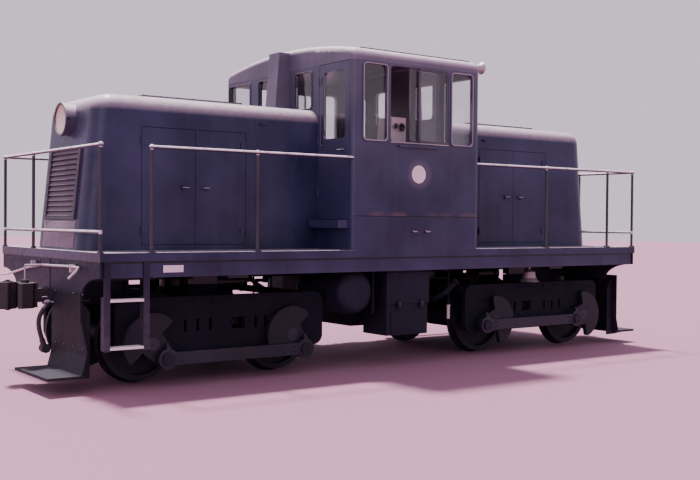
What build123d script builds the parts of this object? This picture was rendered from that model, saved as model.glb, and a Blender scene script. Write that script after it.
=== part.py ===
# Centre-cab, side-rod diesel switching locomotive on two four-wheel trucks.
# Millimetres. X runs along the machine, with the ladder of the -Y side at the -X end,
# Y runs across it, and Z is up from the lowest points of the wheel flanges.
from build123d import *
from math import cos, radians, sin, tan
import os

os.makedirs("parts", exist_ok=True)

# Driving dimensions: running gear
wheel_r = 419            # tread radius of a 33 inch wheel
flange_h = 28            # how far a flange hangs below the rail top
wheel_back = 677         # inner face of a wheel, from the centre line
wheel_w = 137
rim_t = 62               # radial depth of a wheel's rim
axle_r = 82
hub_r = 130
journal_r = 72
truck_x = 2400           # truck pivots, from the middle of the machine
wheelbase = 1676
crank_throw = 210
crank_angle_front = -48  # crank pin of the -Y side, seen from the -Y side, from +X
crank_angle_rear = -168
crank_pin_r = 45
fit_gap = 0.3            # running clearance at pins and bearings, and round glass and sashes
balance_r = 315          # balance weight opposite the crank pin
balance_chord = 12       # straight edge of the weight, beyond the axle's centre
balance_corner_r = 28
crank_in = 1085          # inner face of the cranks, from the centre line
crank_t = 60
rod_gap = 10             # between a crank's face and the rod
rod_t = 56
rod_bar_h = 130
rod_eye_r = 106
rod_recess = 4           # bar of a rod behind the faces of its eyes
pin_cap_t = 14
pin_cap_gap = 5
side_frame_in = 985      # inner face of a truck's side frame
side_frame_t = 76
side_frame_h = 600
side_frame_end = 345     # frame beyond the outer axle
side_frame_reach = 115   # how much further it runs beyond the inner axle
side_frame_drop = 137    # lower edge of the side frame below the axle centre
side_frame_corner_r = 110
journal_box = 260
journal_clear = 12
bolster_l = 500
bolster_h = 300
running_gap = 6          # between pieces that move past each other
shoe_t = 55
shoe_w = 76
shoe_half_angle = 24
bearing_y = 620          # side bearings, from the centre line
bearing_l, bearing_w, bearing_h = 300, 120, 120
brake_cylinder_r, brake_cylinder_l = 105, 330
brake_cylinder_y = 450
motor_r = 205
motor_half_w = 520
motor_reach = 360        # motor shaft from the axle it drives
nose_h, nose_w = 90, 260  # lug that hangs a motor on its truck's bolster

# Driving dimensions: deck and underframe
deck_len = 7868
deck_w = 2896
deck_over_rail = 1355
deck_edge_h = 90
deck_edge_t = 60
deck_plate_t = 12
sill_h = 245             # lower edge of the side sill below the deck top
sill_t = 40
sill_inset = 18
centre_sill_y = 230
centre_sill_t = 50
centre_sill_h = 340
end_plate_t = 30
end_plate_drop = 470
end_plate_half = 950
cross_members = (0, 700, 1250)
cross_member_t = 40
body_bolster_l = 440
centre_plate_r = 200
pad_l, pad_w, pad_t = 240, 130, 30
pad_y = 1330

# Driving dimensions: hoods
hood_half_w = 740
hood_h = 1630
hood_wall = 22
hood_nose_x = 3815       # foot of the nose, from the middle of the machine
hood_rake = 5.8          # lean of the nose from upright, in degrees
hood_corner_r = 235
hood_top_r = 190
hatch_x = 2385
hatch_l = 1270
hatch_w = 760
hatch_t = 42
grille_half_w = 386
grille_z = (345, 1060)   # foot and head of the grille above the deck
grille_frame_w = 55
grille_frame_t = 24
louvre_count = 13
louvre_lean = 0.62
louvre_t = 16
hood_door_w = 620
hood_door_z = (60, 1290)
door_gap = 5.5
hinge_out = 14           # hinge pin outside the face of its door
hinge_r = 8
handle_z = 665
light_z_over_deck = 1382
drum_r = 180
drum_out_of_nose = 115
lens_r = 160
engine_l, engine_w, engine_h = 1500, 900, 1150
engine_gap = 500         # engine from the cab
stack_half_w = 116
stack_l = (150, 205)     # exhaust casing along X, at its head and at its foot

# Driving dimensions: cab
cab_half = 959
cab_wall = 50
cab_corner_r = 75
cab_floor_h = 300
cab_floor_t = 60
cab_eave_h = 2140        # joint between the walls and the roof
cab_eave_r = 115
cab_crown_h = 2405
roof_r = 7600            # radius of the roof's arch
roof_t = 40
window_r = 45
window_head = 2110
window_foot = 1243
bulkhead_head = 2090
glass_t = 6
frame_w = 20             # raised moulding round the fixed windows
frame_out = 8
sash_t = 18
sash_bar = 27
cab_door_y = (760, 1360)
cab_door_z = (340, 2140)
cab_door_t = 40
door_window_foot = 1270

# Driving dimensions: rails, ladders, couplers and pilots
rail_r = 17
rail_h = 1036
rail_inset = 40          # rails from the edge of the deck
low_rail_h = 200
post_x = (2182, 3387)
end_rail_inset = 20
mid_post_y = 450
base_r = 34
base_t = 12
ladder_x = (3420, 3890)
ladder_drop = 945
ladder_bar = 62
tread_drops = (460, 920)
tread_w = 120
tread_t = 26
footboard_drop = 1200
footboard_y = (200, 1140)
footboard_l = 385
footboard_t = 28
pilot_fold_drop = 1020
pilot_t = 16
coupler_h = 876          # coupler centre above the rail
shank_half = 75
head_half = 130
coupler_reach = 105      # length of shank between the deck's end and the head
knuckle_half = 140
striker_half = 110
pocket_l = 850
pocket_t = 30
lever_r = 12
lever_out = 34           # uncoupling levers in front of the deck's end
hose_r = 24
hose_y = 215

# Places that follow from the sizes above
axle_z = flange_h + wheel_r
deck_z = flange_h + deck_over_rail
deck_half = deck_len / 2
side_y = deck_w / 2
axle_half = wheelbase / 2
wheel_out = wheel_back + wheel_w
crank_out = crank_in + crank_t
rod_in = crank_out + rod_gap
rod_out = rod_in + rod_t
pin_end = rod_out + pin_cap_gap + pin_cap_t
side_frame_out = side_frame_in + side_frame_t
side_frame_top = axle_z - side_frame_drop + side_frame_h
bolster_top = side_frame_top + 40
sill_y = side_y - sill_inset - sill_t / 2
coupler_z = flange_h + coupler_h
rail_y = side_y - rail_inset
rail_z = deck_z + rail_h
end_rail_x = deck_half - end_rail_inset
hood_tan = tan(radians(hood_rake))
light_z = deck_z + light_z_over_deck
floor_z = deck_z + cab_floor_h
roof_side = (deck_z + cab_eave_h, deck_z + cab_crown_h)

ends = (("front", -1), ("rear", 1))
sides = (("near", -1), ("far", 1))
side_of = dict(sides)
# Quartered cranks: the pin of the +Y side runs a quarter turn ahead of the -Y side's pin.
truck_crank = {"front": crank_angle_front, "rear": crank_angle_rear}


def crank_turn(end, side):
    """Angle of a crank pin round its axle, in degrees from +X towards +Z."""
    return truck_crank[end] + (90 if side > 0 else 0)


def crank_offset(end, side):
    """Place of a crank pin from its axle, as (x, z)."""
    turn = radians(crank_turn(end, side))
    return crank_throw * cos(turn), crank_throw * sin(turn)


def finish(builder, name):
    """Label a finished piece and write its file."""
    builder.part.label = name
    export_step(builder.part, f"parts/{name}.step")


def at(x, y, z):
    """Upright plane whose sketch runs along +X and +Z; a positive extrusion goes towards -Y."""
    return Plane(origin=(x, y, z), x_dir=(1, 0, 0), z_dir=(0, -1, 0))


def facing(along, x, y, z):
    """Upright plane across the machine, facing along; its sketch runs along along * Y and +Z."""
    return Plane(origin=(x, y, z), x_dir=(0, along, 0), z_dir=(along, 0, 0))


def block(x, y, z):
    """Add a box between two values on each axis to the piece being made."""
    (x0, x1), (y0, y1), (z0, z1) = (sorted(pair) for pair in (x, y, z))
    with Locations(((x0 + x1) / 2, (y0 + y1) / 2, (z0 + z1) / 2)):
        Box(x1 - x0, y1 - y0, z1 - z0)


def bar(start, stop, radius):
    """Add a round bar between two points to the piece being made."""
    run = Vector(*stop) - Vector(*start)
    with BuildSketch(Plane(origin=start, z_dir=run.normalized())) as section:
        Circle(radius)
    extrude(section.sketch, amount=run.length)


def pipe(points, radius):
    """Add a round bar through several points, with ball corners."""
    for start, stop in zip(points, points[1:]):
        bar(start, stop, radius)
    for corner in points[1:-1]:
        with Locations(corner):
            Sphere(radius * 1.02)


# Wheelsets: axle, wheels and quartered outside cranks turn as one
half_profile = (          # radius, distance from the centre line
    (axle_r, 0),
    (axle_r, wheel_back - 25),
    (hub_r, wheel_back - 25),
    (hub_r, wheel_back + 50),
    (wheel_r - rim_t, wheel_back + 35),
    (wheel_r - rim_t, wheel_back),
    (wheel_r + flange_h - 6, wheel_back + 4),
    (wheel_r + flange_h, wheel_back + 12),
    (wheel_r + flange_h - 6, wheel_back + 22),
    (wheel_r, wheel_back + 34),
    (wheel_r - 5, wheel_out),
    (wheel_r - rim_t, wheel_out),
    (wheel_r - rim_t, wheel_back + 75),
    (hub_r, wheel_back + 85),
    (hub_r, wheel_out + 12),
    (journal_r, wheel_out + 12),
    (journal_r, crank_in + crank_t / 2),
)
wheelsets = (             # name, end, x of the axle
    ("wheelset_front_outer", "front", -truck_x - axle_half),
    ("wheelset_front_inner", "front", -truck_x + axle_half),
    ("wheelset_rear_inner", "rear", truck_x - axle_half),
    ("wheelset_rear_outer", "rear", truck_x + axle_half),
)
for name, end, axle_x in wheelsets:
    with BuildPart() as wheelset:
        with BuildSketch(Plane((axle_x, 0, axle_z), x_dir=(1, 0, 0), z_dir=(0, 0, 1))):
            with BuildLine():
                Polyline([(0, 0)] + list(half_profile) + [(0, half_profile[-1][1])], close=True)
            make_face()
            mirror(about=Plane.XZ)
        revolve(axis=Axis((axle_x, 0, axle_z), (0, 1, 0)))
        for _, side in sides:
            pin = crank_offset(end, side)
            away = crank_turn(end, side) + 180
            with BuildSketch(at(axle_x, side * crank_in, axle_z)) as weight:
                Circle(balance_r)
                with PolarLocations(balance_chord + balance_r / 2, 1, start_angle=away):
                    Rectangle(balance_r, 2 * balance_r, mode=Mode.INTERSECT)
                fillet(weight.vertices(), balance_corner_r)
            extrude(amount=-side * crank_t)
            with BuildSketch(at(axle_x, side * crank_in, axle_z)):
                Circle(hub_r + 10)
                with Locations(pin):
                    Circle(rod_eye_r - 5)
                make_hull()
            extrude(amount=-side * crank_t)
            with BuildSketch(at(axle_x, side * crank_in, axle_z)):
                with Locations(pin):
                    Circle(crank_pin_r)
            extrude(amount=-side * (pin_end - crank_in))
            with BuildSketch(at(axle_x, side * (rod_out + pin_cap_gap), axle_z)):
                with Locations(pin):
                    Circle(crank_pin_r + 20)
            extrude(amount=-side * pin_cap_t)
    finish(wheelset, name)

# Side rods: one on each side of each truck, an eye on each crank pin
for end, along in ends:
    for side_name, side in sides:
        pin_x, pin_z = crank_offset(end, side)
        place = (along * truck_x + pin_x, axle_z + pin_z)
        with BuildPart() as side_rod:
            with BuildSketch(at(place[0], side * (rod_in + rod_recess), place[1])):
                Rectangle(wheelbase, rod_bar_h)
            extrude(amount=-side * (rod_t - 2 * rod_recess))
            with BuildSketch(at(place[0], side * rod_in, place[1])):
                with Locations((-axle_half, 0), (axle_half, 0)):
                    Circle(rod_eye_r)
                    with Locations((0, rod_eye_r)):
                        Rectangle(44, 50)
            extrude(amount=-side * rod_t)
            with BuildSketch(at(place[0], side * rod_in, place[1])):
                with Locations((-axle_half, 0), (axle_half, 0)):
                    Circle(crank_pin_r + fit_gap)
            extrude(amount=-side * rod_t, mode=Mode.SUBTRACT)
        finish(side_rod, f"side_rod_{end}_{side_name}")

# Truck frames: plate side frames, journal boxes, a bolster, end transoms and brake shoes
slots = (                 # distance from the truck centre towards the middle of the machine, width
    (-435, 34), (-290, 34), (-140, 34), (200, 160), (415, 40), (540, 34),
)
slot_z = (axle_z + 95, axle_z + 220)
shoe_y = wheel_back + 88
side_frame_mid = side_frame_top - side_frame_h / 2
side_frame_half = axle_half + side_frame_end + side_frame_reach / 2
for end, along in ends:
    centre_x = along * truck_x
    frame_x = centre_x - along * side_frame_reach / 2
    with BuildPart() as truck_frame:
        for _, side in sides:
            with BuildSketch(at(frame_x, side * side_frame_in, side_frame_mid)):
                RectangleRounded(2 * side_frame_half, side_frame_h, side_frame_corner_r)
                for inward, slot_w in slots:
                    with Locations((along * (side_frame_reach / 2 - inward), sum(slot_z) / 2 - side_frame_mid)):
                        Rectangle(slot_w, slot_z[1] - slot_z[0], mode=Mode.SUBTRACT)
            extrude(amount=-side * side_frame_t)
            for toward in (-1, 1):
                axle_x = centre_x + toward * axle_half
                block((axle_x - journal_box / 2, axle_x + journal_box / 2),
                      (side * (wheel_out + 30), side * side_frame_in),
                      (axle_z - side_frame_drop, axle_z + journal_box / 2))
            block((centre_x - bearing_l / 2, centre_x + bearing_l / 2),
                  (side * (bearing_y - bearing_w / 2), side * (bearing_y + bearing_w / 2)),
                  (side_frame_top - 30, side_frame_top - 30 + bearing_h))
        block((centre_x - bolster_l / 2, centre_x + bolster_l / 2), (-side_frame_in, side_frame_in),
              (side_frame_top - 30 - bolster_h, side_frame_top - 30))
        with Locations((centre_x, 0, (bolster_top + side_frame_top - 40) / 2)):
            Cylinder(centre_plate_r + 20, bolster_top - side_frame_top + 40)
        transom_x = frame_x - along * (side_frame_half - 30)
        block((transom_x - 25, transom_x + 25), (-side_frame_in, side_frame_in),
              (side_frame_top - 100, side_frame_top - 20))
        for toward in (-1, 1):
            axle_x = centre_x + toward * axle_half
            for _, side in sides:
                with BuildSketch(at(axle_x, side * (shoe_y - shoe_w / 2), axle_z)):
                    with BuildLine():
                        start = 90 + toward * (90 - shoe_half_angle)
                        sweep_angle = 2 * toward * shoe_half_angle
                        inner = CenterArc((0, 0), wheel_r + running_gap, start, sweep_angle)
                        outer = CenterArc((0, 0), wheel_r + running_gap + shoe_t, start, sweep_angle)
                        Line(inner @ 0, outer @ 0)
                        Line(inner @ 1, outer @ 1)
                    make_face()
                extrude(amount=-side * shoe_w)
                shoe_back = centre_x + toward * (axle_half - wheel_r - running_gap - shoe_t / 2)
                block((centre_x + toward * bolster_l / 2, shoe_back), (side * (shoe_y - 25), side * (shoe_y + 25)),
                      (side_frame_top - 30 - bolster_h - 20, side_frame_top - bolster_h + 90))
            with BuildSketch(at(axle_x, -side_frame_out, axle_z)):
                Circle(journal_r + fit_gap)
            extrude(amount=-2 * side_frame_out, mode=Mode.SUBTRACT)
            for _, side in sides:
                with BuildSketch(at(axle_x, side * side_frame_in, axle_z)):
                    Circle(journal_r + journal_clear)
                extrude(amount=-side * side_frame_t, mode=Mode.SUBTRACT)
    finish(truck_frame, f"truck_frame_{end}")

# Traction motors, hung on the inner axle of each truck
for end, along in ends:
    axle_x = along * (truck_x - axle_half)
    with BuildPart() as motor:
        with BuildSketch(at(axle_x, -motor_half_w, axle_z)):
            with Locations((along * motor_reach, 0)):
                Circle(motor_r)
            with Locations((along * motor_reach / 2, 0)):
                Rectangle(motor_reach, 2 * hub_r)
            Circle(hub_r)
            Circle(axle_r + fit_gap, mode=Mode.SUBTRACT)
        extrude(amount=-2 * motor_half_w)
        block((axle_x + along * motor_reach, along * (truck_x - bolster_l / 2 - fit_gap)), (-nose_w / 2, nose_w / 2),
              (axle_z + motor_r - nose_h, axle_z + motor_r - 10))
    finish(motor, f"traction_motor_{end}")

# Deck: walkway plate with its edge channel
with BuildPart() as deck:
    block((-deck_half, deck_half), (-side_y, side_y), (deck_z - deck_plate_t, deck_z))
    for sign in (-1, 1):
        block((-deck_half, deck_half), (sign * (side_y - deck_edge_t), sign * side_y), (deck_z - deck_edge_h, deck_z))
        block((sign * (deck_half - deck_edge_t), sign * deck_half), (-side_y, side_y), (deck_z - deck_edge_h, deck_z))
finish(deck, "deck")

# Underframe: sills, cross members, body bolsters with their centre plates and jacking pads
with BuildPart() as underframe:
    sill_end = deck_half - deck_edge_t
    for _, side in sides:
        for mid_y, thick, depth in ((sill_y, sill_t, sill_h), (centre_sill_y, centre_sill_t, centre_sill_h)):
            block((-sill_end, sill_end), (side * (mid_y - thick / 2), side * (mid_y + thick / 2)),
                  (deck_z - depth, deck_z - (deck_edge_h if mid_y == sill_y else deck_plate_t)))
    for x in sorted({s * c for s in (-1, 1) for c in cross_members}):
        block((x - cross_member_t / 2, x + cross_member_t / 2), (-sill_y, sill_y), (deck_z - sill_h, deck_z - deck_edge_h))
    for _, along in ends:
        bolster_x = (along * (truck_x - body_bolster_l / 2), along * (truck_x + body_bolster_l / 2))
        block(bolster_x, (-sill_y, sill_y), (deck_z - sill_h, deck_z - deck_edge_h))
        plate_gap = 0.3
        with Locations((along * truck_x, 0, (bolster_top + plate_gap + deck_z - sill_h) / 2)):
            Cylinder(centre_plate_r, deck_z - sill_h - bolster_top - plate_gap)
        for _, side in sides:
            block((along * (truck_x - pad_l / 2), along * (truck_x + pad_l / 2)),
                  (side * (pad_y - pad_w / 2), side * (pad_y + pad_w / 2)),
                  (deck_z - sill_h - pad_t, deck_z - sill_h))
            block((along * (truck_x - bearing_l / 2), along * (truck_x + bearing_l / 2)),
                  (side * (bearing_y - bearing_w / 2), side * (bearing_y + bearing_w / 2)),
                  (side_frame_top - 30 + bearing_h + running_gap, deck_z - sill_h))
            cylinder_x = truck_x - body_bolster_l / 2
            cylinder_z = deck_z - sill_h - brake_cylinder_r - 20
            place_y = side * brake_cylinder_y
            bar((along * (cylinder_x - 40), place_y, cylinder_z),
                (along * (cylinder_x - 40 - brake_cylinder_l), place_y, cylinder_z), brake_cylinder_r)
            bar((along * cylinder_x, place_y, cylinder_z), (along * (cylinder_x - 70), place_y, cylinder_z),
                brake_cylinder_r + 15)
            bar((along * (cylinder_x - 50 - brake_cylinder_l), place_y, cylinder_z),
                (along * (cylinder_x - 30 - brake_cylinder_l), place_y, cylinder_z), brake_cylinder_r + 15)
            bar((along * (cylinder_x - 40 - brake_cylinder_l), place_y, cylinder_z),
                (along * (cylinder_x - 230 - brake_cylinder_l), place_y, cylinder_z), 18)
            block((along * cylinder_x, along * (cylinder_x - brake_cylinder_l)),
                  (place_y - 50, place_y + 50), (cylinder_z + brake_cylinder_r - 20, deck_z - deck_edge_h))
finish(underframe, "underframe")

hose_run = (              # distance out from the deck's end, height above the deck top
    (100, -612), (136, -664), (154, -728), (152, -796), (138, -862), (118, -926),
)
cock_l = 70


def cock_step(along):
    """Direction of a brake hose where it leaves its cock."""
    return Vector(along * (hose_run[1][0] - hose_run[0][0]), 0, hose_run[1][1] - hose_run[0][1]).normalized()


def cock_elbow(along):
    """Middle of an angle cock."""
    return Vector(along * (deck_half + hose_run[0][0]), -hose_y, deck_z + hose_run[0][1]) - cock_step(along) * cock_l


# End sheets, each with its draft pocket, striker and the angle cock of its brake pipe
with BuildPart() as end_sheets:
    for _, along in ends:
        with BuildSketch(facing(along, along * (deck_half - end_plate_t), 0, deck_z)):
            with BuildLine():
                side_run = side_y - sill_inset
                for sign in (-1, 1):
                    Line((0, -deck_edge_h), (sign * side_run, -deck_edge_h))
                    Line((sign * side_run, -deck_edge_h), (sign * side_run, -sill_h))
                    EllipticalCenterArc((sign * side_run, -end_plate_drop), side_run - end_plate_half,
                                        end_plate_drop - sill_h, start_angle=90 if sign > 0 else 0, arc_size=90)
                    Line((sign * end_plate_half, -end_plate_drop), (0, -end_plate_drop))
            make_face()
        extrude(amount=end_plate_t - 6)
        block((along * (deck_half - 2 * deck_edge_t), along * deck_half), (-striker_half, striker_half),
              (coupler_z - striker_half, deck_z - deck_edge_h))
        for sign in (-1, 1):
            block((along * (deck_half - pocket_l), along * (deck_half - 6)),
                  (sign * striker_half, sign * (striker_half + pocket_t)),
                  (coupler_z - striker_half, deck_z - deck_edge_h))
        block((along * (deck_half - pocket_l), along * (deck_half - pocket_l + pocket_t)),
              (-centre_sill_y + centre_sill_t / 2, centre_sill_y - centre_sill_t / 2),
              (coupler_z - striker_half, deck_z - deck_edge_h))
        with Locations((along * (deck_half - pocket_l / 2), 0, coupler_z)):
            Box(pocket_l + 20, 2 * shank_half, 2 * shank_half, mode=Mode.SUBTRACT)
        elbow = cock_elbow(along)
        bar(elbow, (along * (deck_half - 400), -hose_y, elbow.Z), 20)
        block((along * (deck_half - end_plate_t), along * (deck_half - 6)), (-hose_y - 34, -hose_y + 34),
              (elbow.Z - 10, deck_z - end_plate_drop))
        with Locations(elbow):
            Sphere(hose_r + 14)
        bar(elbow, elbow + cock_step(along) * cock_l, hose_r + 5)
        bar(elbow, elbow + Vector(0, 0, 70), 9)
        bar(elbow + Vector(0, 0, 62), elbow + Vector(along * 60, 0, 62), 9)
finish(end_sheets, "end_sheets")

# Couplers: shank, head with its guard arm, knuckle and knuckle pin
head_plan = (             # distance out from the shank's end, y
    (6, -68), (40, -68), (85, -150), (205, -172), (248, -148), (196, -92), (178, 30), (190, 70),
    (262, 92), (262, 168), (120, 172), (60, 120), (40, 68), (6, 68),
)
knuckle_plan = ((190, 30), (262, 8), (305, -25), (384, 14), (378, 92), (318, 148), (250, 168), (205, 120))
pin_place = (262, 118)
for end, along in ends:
    with BuildPart() as coupler:
        head_x = deck_half + coupler_reach
        block((along * (deck_half - pocket_l + 120), along * (head_x + 30)), (-shank_half + 7, shank_half - 7),
              (coupler_z - shank_half + 0.3, coupler_z + shank_half - 8))
        for plan, half, radius in ((head_plan, head_half, 12), (knuckle_plan, knuckle_half, 14)):
            with BuildSketch(Plane.XY.offset(coupler_z - half)) as outline:
                with BuildLine():
                    Polyline([(along * (head_x + u), v) for u, v in plan], close=True)
                make_face()
                fillet([v for v in outline.vertices() if abs(v.X) > head_x + 30], radius)
            extrude(amount=2 * half)
        with Locations((along * (head_x + pin_place[0]), pin_place[1], coupler_z)):
            Cylinder(24, 2 * knuckle_half + 40)
            Cylinder(52, 2 * knuckle_half + 16)
        with Locations((along * (head_x + 120), 0, coupler_z + head_half)):
            Cylinder(42, 60)
    finish(coupler, f"coupler_{end}")

# Pilot plates and footboards, on the -Y side of each end
cock_hole_r = 48
gusset_y = {-1: (285, 960), 1: (285, 1060)}
pilot_cut = (             # y, drop: what the front plate's outer edge is cut back by
    (1200, 300), (980, 300), (990, 700), (footboard_y[1], 990), (1200, 990),
)
with BuildPart() as pilots:
    for _, along in ends:
        foot_z = deck_z - footboard_drop
        face_x = deck_half - 6 + pilot_t
        with BuildSketch(at(0, -footboard_y[1], 0)):
            with BuildLine():
                Polyline([(along * face_x, deck_z - end_plate_drop + 60), (along * face_x, deck_z - pilot_fold_drop),
                          (along * (face_x + 45), foot_z), (along * (face_x + 30), foot_z),
                          (along * (face_x - pilot_t), deck_z - pilot_fold_drop),
                          (along * (face_x - pilot_t), deck_z - end_plate_drop + 60)], close=True)
            make_face()
        extrude(amount=-(footboard_y[1] - footboard_y[0]))
        if along < 0:
            with BuildSketch(facing(along, along * (face_x - 2 * pilot_t), 0, deck_z)):
                with BuildLine():
                    Polyline([(along * -y, -drop) for y, drop in pilot_cut], close=True)
                make_face()
            extrude(amount=4 * pilot_t + 60, mode=Mode.SUBTRACT)
        with Locations(Plane(origin=(along * face_x, -hose_y, cock_elbow(along).Z), z_dir=(1, 0, 0))):
            Cylinder(cock_hole_r, 4 * pilot_t, mode=Mode.SUBTRACT)
        block((along * face_x, along * (face_x + footboard_l)), (-footboard_y[1], -footboard_y[0]),
              (foot_z - footboard_t, foot_z))
        for y in gusset_y[along]:
            with BuildSketch(at(0, -y, 0)):
                with BuildLine():
                    Polyline([(along * (face_x - 12), deck_z - end_plate_drop - 10),
                              (along * (face_x - 12), foot_z - footboard_t),
                              (along * (face_x + footboard_l - 30), foot_z - footboard_t),
                              (along * (face_x + 20), foot_z - footboard_t - 30),
                              (along * (face_x - 110), foot_z - footboard_t - 30),
                              (along * (face_x - 110), deck_z - end_plate_drop - 130)], close=True)
                make_face()
            extrude(amount=-pilot_t)
finish(pilots, "pilots")

# Brake hoses and their glad hands
for end, along in ends:
    route = [Vector(along * (deck_half + u), -hose_y, deck_z + v) for u, v in hose_run]
    with BuildPart() as hose:
        runs = [(b - a).length for a, b in zip(route, route[1:])]
        turns = [(b - a).get_angle(c - b) for a, b, c in zip(route, route[1:], route[2:])]
        radii = [0.45 * min(r0, r1) / tan(radians(turn) / 2) for r0, r1, turn in zip(runs, runs[1:], turns)]
        with BuildLine() as path:
            FilletPolyline(*route, radius=radii)
        with BuildSketch(Plane(origin=route[0], z_dir=(route[1] - route[0]).normalized())) as ring:
            Circle(hose_r)
        sweep(ring.sketch, path=path.line)
    length = sum(edge.length for edge in path.edges())
    print("hose", end, [round(r) for r in radii], round(hose.part.volume / (ring.sketch.area * length), 4))
    finish(hose, f"air_hose_{end}")
    tail = (route[-1] - route[-2]).normalized()
    with BuildPart() as glad_hand:
        bar(route[-1], route[-1] + tail * 70, hose_r + 6)
        with Locations(route[-1] + tail * 100):
            Box(46, 84, 84)
        with Locations(Plane(origin=route[-1] + tail * 100, z_dir=(0, 1, 0))):
            Cylinder(48, 96)
    finish(glad_hand, f"glad_hand_{end}")
# Uncoupling levers across each end
lever_routes = (          # distance out from the deck's end, y, height above the deck top, from handle to coupler
    ((34, 1380, -330), (34, 1120, -310), (34, 330, -190), (34, 0, -165)),
    ((130, -975, -262), (60, -1000, -190), (34, -990, -155), (34, -800, -150), (34, -300, -160), (34, 0, -165)),
)
with BuildPart() as levers:
    for _, along in ends:
        for route in lever_routes:
            pipe([(along * (deck_half + out), y, deck_z + z) for out, y, z in route], lever_r)
        for y in (-800, 330):
            block((along * (deck_half - 6), along * (deck_half + lever_out + lever_r)), (y - 15, y + 15),
                  (deck_z - 210, deck_z - 130))
        lift_x = deck_half + coupler_reach + 120
        bar((along * (deck_half + lever_out), 0, deck_z - 165), (along * lift_x, 0, deck_z - 165), 10)
        bar((along * lift_x, 0, deck_z - 165), (along * lift_x, 0, coupler_z + head_half + 30 + fit_gap), 8)
finish(levers, "uncoupling_levers")

# Ladders: the front one on the -Y side, the rear one on the +Y side
with BuildPart() as ladders:
    for (_, along), (_, side) in zip(ends, sides):
        for x in (ladder_x[0] + ladder_bar / 2, ladder_x[1] - ladder_bar / 2):
            block((along * (x - ladder_bar / 2), along * (x + ladder_bar / 2)),
                  (side * (side_y - sill_inset), side * (side_y - 1)), (deck_z - ladder_drop, deck_z - deck_edge_h))
            block((along * (x - 8), along * (x + 8)), (side * (side_y - sill_inset - tread_w), side * (side_y - sill_inset)),
                  (deck_z - ladder_drop, deck_z - tread_drops[0] + 30))
        for drop in tread_drops:
            block((along * (ladder_x[0] + ladder_bar - 1), along * (ladder_x[1] - ladder_bar + 1)),
                  (side * (side_y - 1 - tread_w), side * (side_y - 5)),
                  (deck_z - drop - tread_t / 2, deck_z - drop + tread_t / 2))
finish(ladders, "ladders")


def cab_outline(inset):
    """Plan of the cab with its rounded corners, drawn in by inset."""
    return RectangleRounded(2 * (cab_half - inset), 2 * (side_y - inset), cab_corner_r - inset)


# Handrails: pipe posts and rails along the walkways and across both ends
for end, along in ends:
    with BuildPart() as rails:
        posts = [(along * x, side * rail_y) for x in post_x + (end_rail_x,) for _, side in sides]
        posts.append((along * end_rail_x, -along * mid_post_y))
        for x, y in posts:
            bar((x, y, deck_z), (x, y, rail_z), rail_r)
            with Locations((x, y, rail_z)):
                Sphere(rail_r * 1.5)
            reach = min(base_r, deck_half - abs(x))
            with Locations((x, y, deck_z + base_t / 2)):
                Box(2 * reach, 2 * base_r, base_t)
        for side_name, side in sides:
            open_corner = side == along
            last_x = post_x[1] if open_corner else end_rail_x
            bar((along * (cab_half - 40), side * rail_y, rail_z), (along * last_x, side * rail_y, rail_z), rail_r)
        for z in (rail_z, deck_z + low_rail_h):
            bar((along * end_rail_x, -rail_y, z), (along * end_rail_x, rail_y, z), rail_r)
        with BuildSketch(Plane.XY.offset(deck_z)):
            cab_outline(-0.2)
        extrude(amount=cab_eave_h, mode=Mode.SUBTRACT)
    finish(rails, f"handrails_{end}")


# Hoods: one shell over each engine, with a raked, rounded nose
def hood_form(along, inset):
    """Solid form of a hood, drawn in from its outside by inset: the -Y half and its mirror image."""
    with BuildPart() as form:
        with BuildSketch(Plane.XZ):
            with BuildLine():
                foot_x = inset - hood_nose_x
                head_x = foot_x + (hood_h - inset) * hood_tan
                back_x = -cab_half + (1 if inset > 0 else 0)
                Polyline([(back_x, deck_z), (foot_x, deck_z), (head_x, deck_z + hood_h - inset),
                          (back_x, deck_z + hood_h - inset)], close=True)
            make_face()
        extrude(amount=hood_half_w - inset)
        outer = [e for e in form.edges() if e.center().Y < -1]
        fillet([e for e in outer if 0.9 < abs((e % 0.5).Z) < 0.9999], hood_corner_r - inset)
        top_edges = form.faces().sort_by(Axis.Z)[-1].edges()
        fillet([e for e in top_edges if e.center().Y < -1 and e.center().X < -cab_half - 10], hood_top_r - inset)
        mirror(about=Plane.XZ)
    return form.part if along < 0 else form.part.mirror(Plane.YZ)


hood_doors = (            # end, side, x of the seam between the leaves
    ("front", "near", -2560), ("rear", "near", 2250), ("front", "far", -2250), ("rear", "far", 2560),
)
door_h = hood_door_z[1] - hood_door_z[0]
door_mid_z = deck_z + sum(hood_door_z) / 2
grille_mid = deck_z + sum(grille_z) / 2
grille_x = hood_nose_x - (grille_mid - deck_z) * hood_tan
lug_x, lug_z = 1711, 1403
for end, along in ends:
    with BuildPart() as hood:
        add(hood_form(along, 0))
        for _, side in sides:
            block((along * (lug_x - 40), along * (lug_x + 40)), (side * (hood_half_w - 60), side * (hood_half_w + 40)),
                  (deck_z + lug_z - 10, deck_z + lug_z + 10))
        add(hood_form(along, hood_wall), mode=Mode.SUBTRACT)
        with Locations((along * grille_x, 0, grille_mid)):
            Box(200, 2 * grille_half_w, grille_z[1] - grille_z[0], mode=Mode.SUBTRACT)
        for door_end, door_side, seam_x in hood_doors:
            if door_end == end:
                with Locations((seam_x, side_of[door_side] * hood_half_w, door_mid_z)):
                    Box(2 * hood_door_w + 3 * door_gap, 4 * hood_wall, door_h + 2 * door_gap, mode=Mode.SUBTRACT)
    finish(hood, f"hood_{end}")

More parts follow.
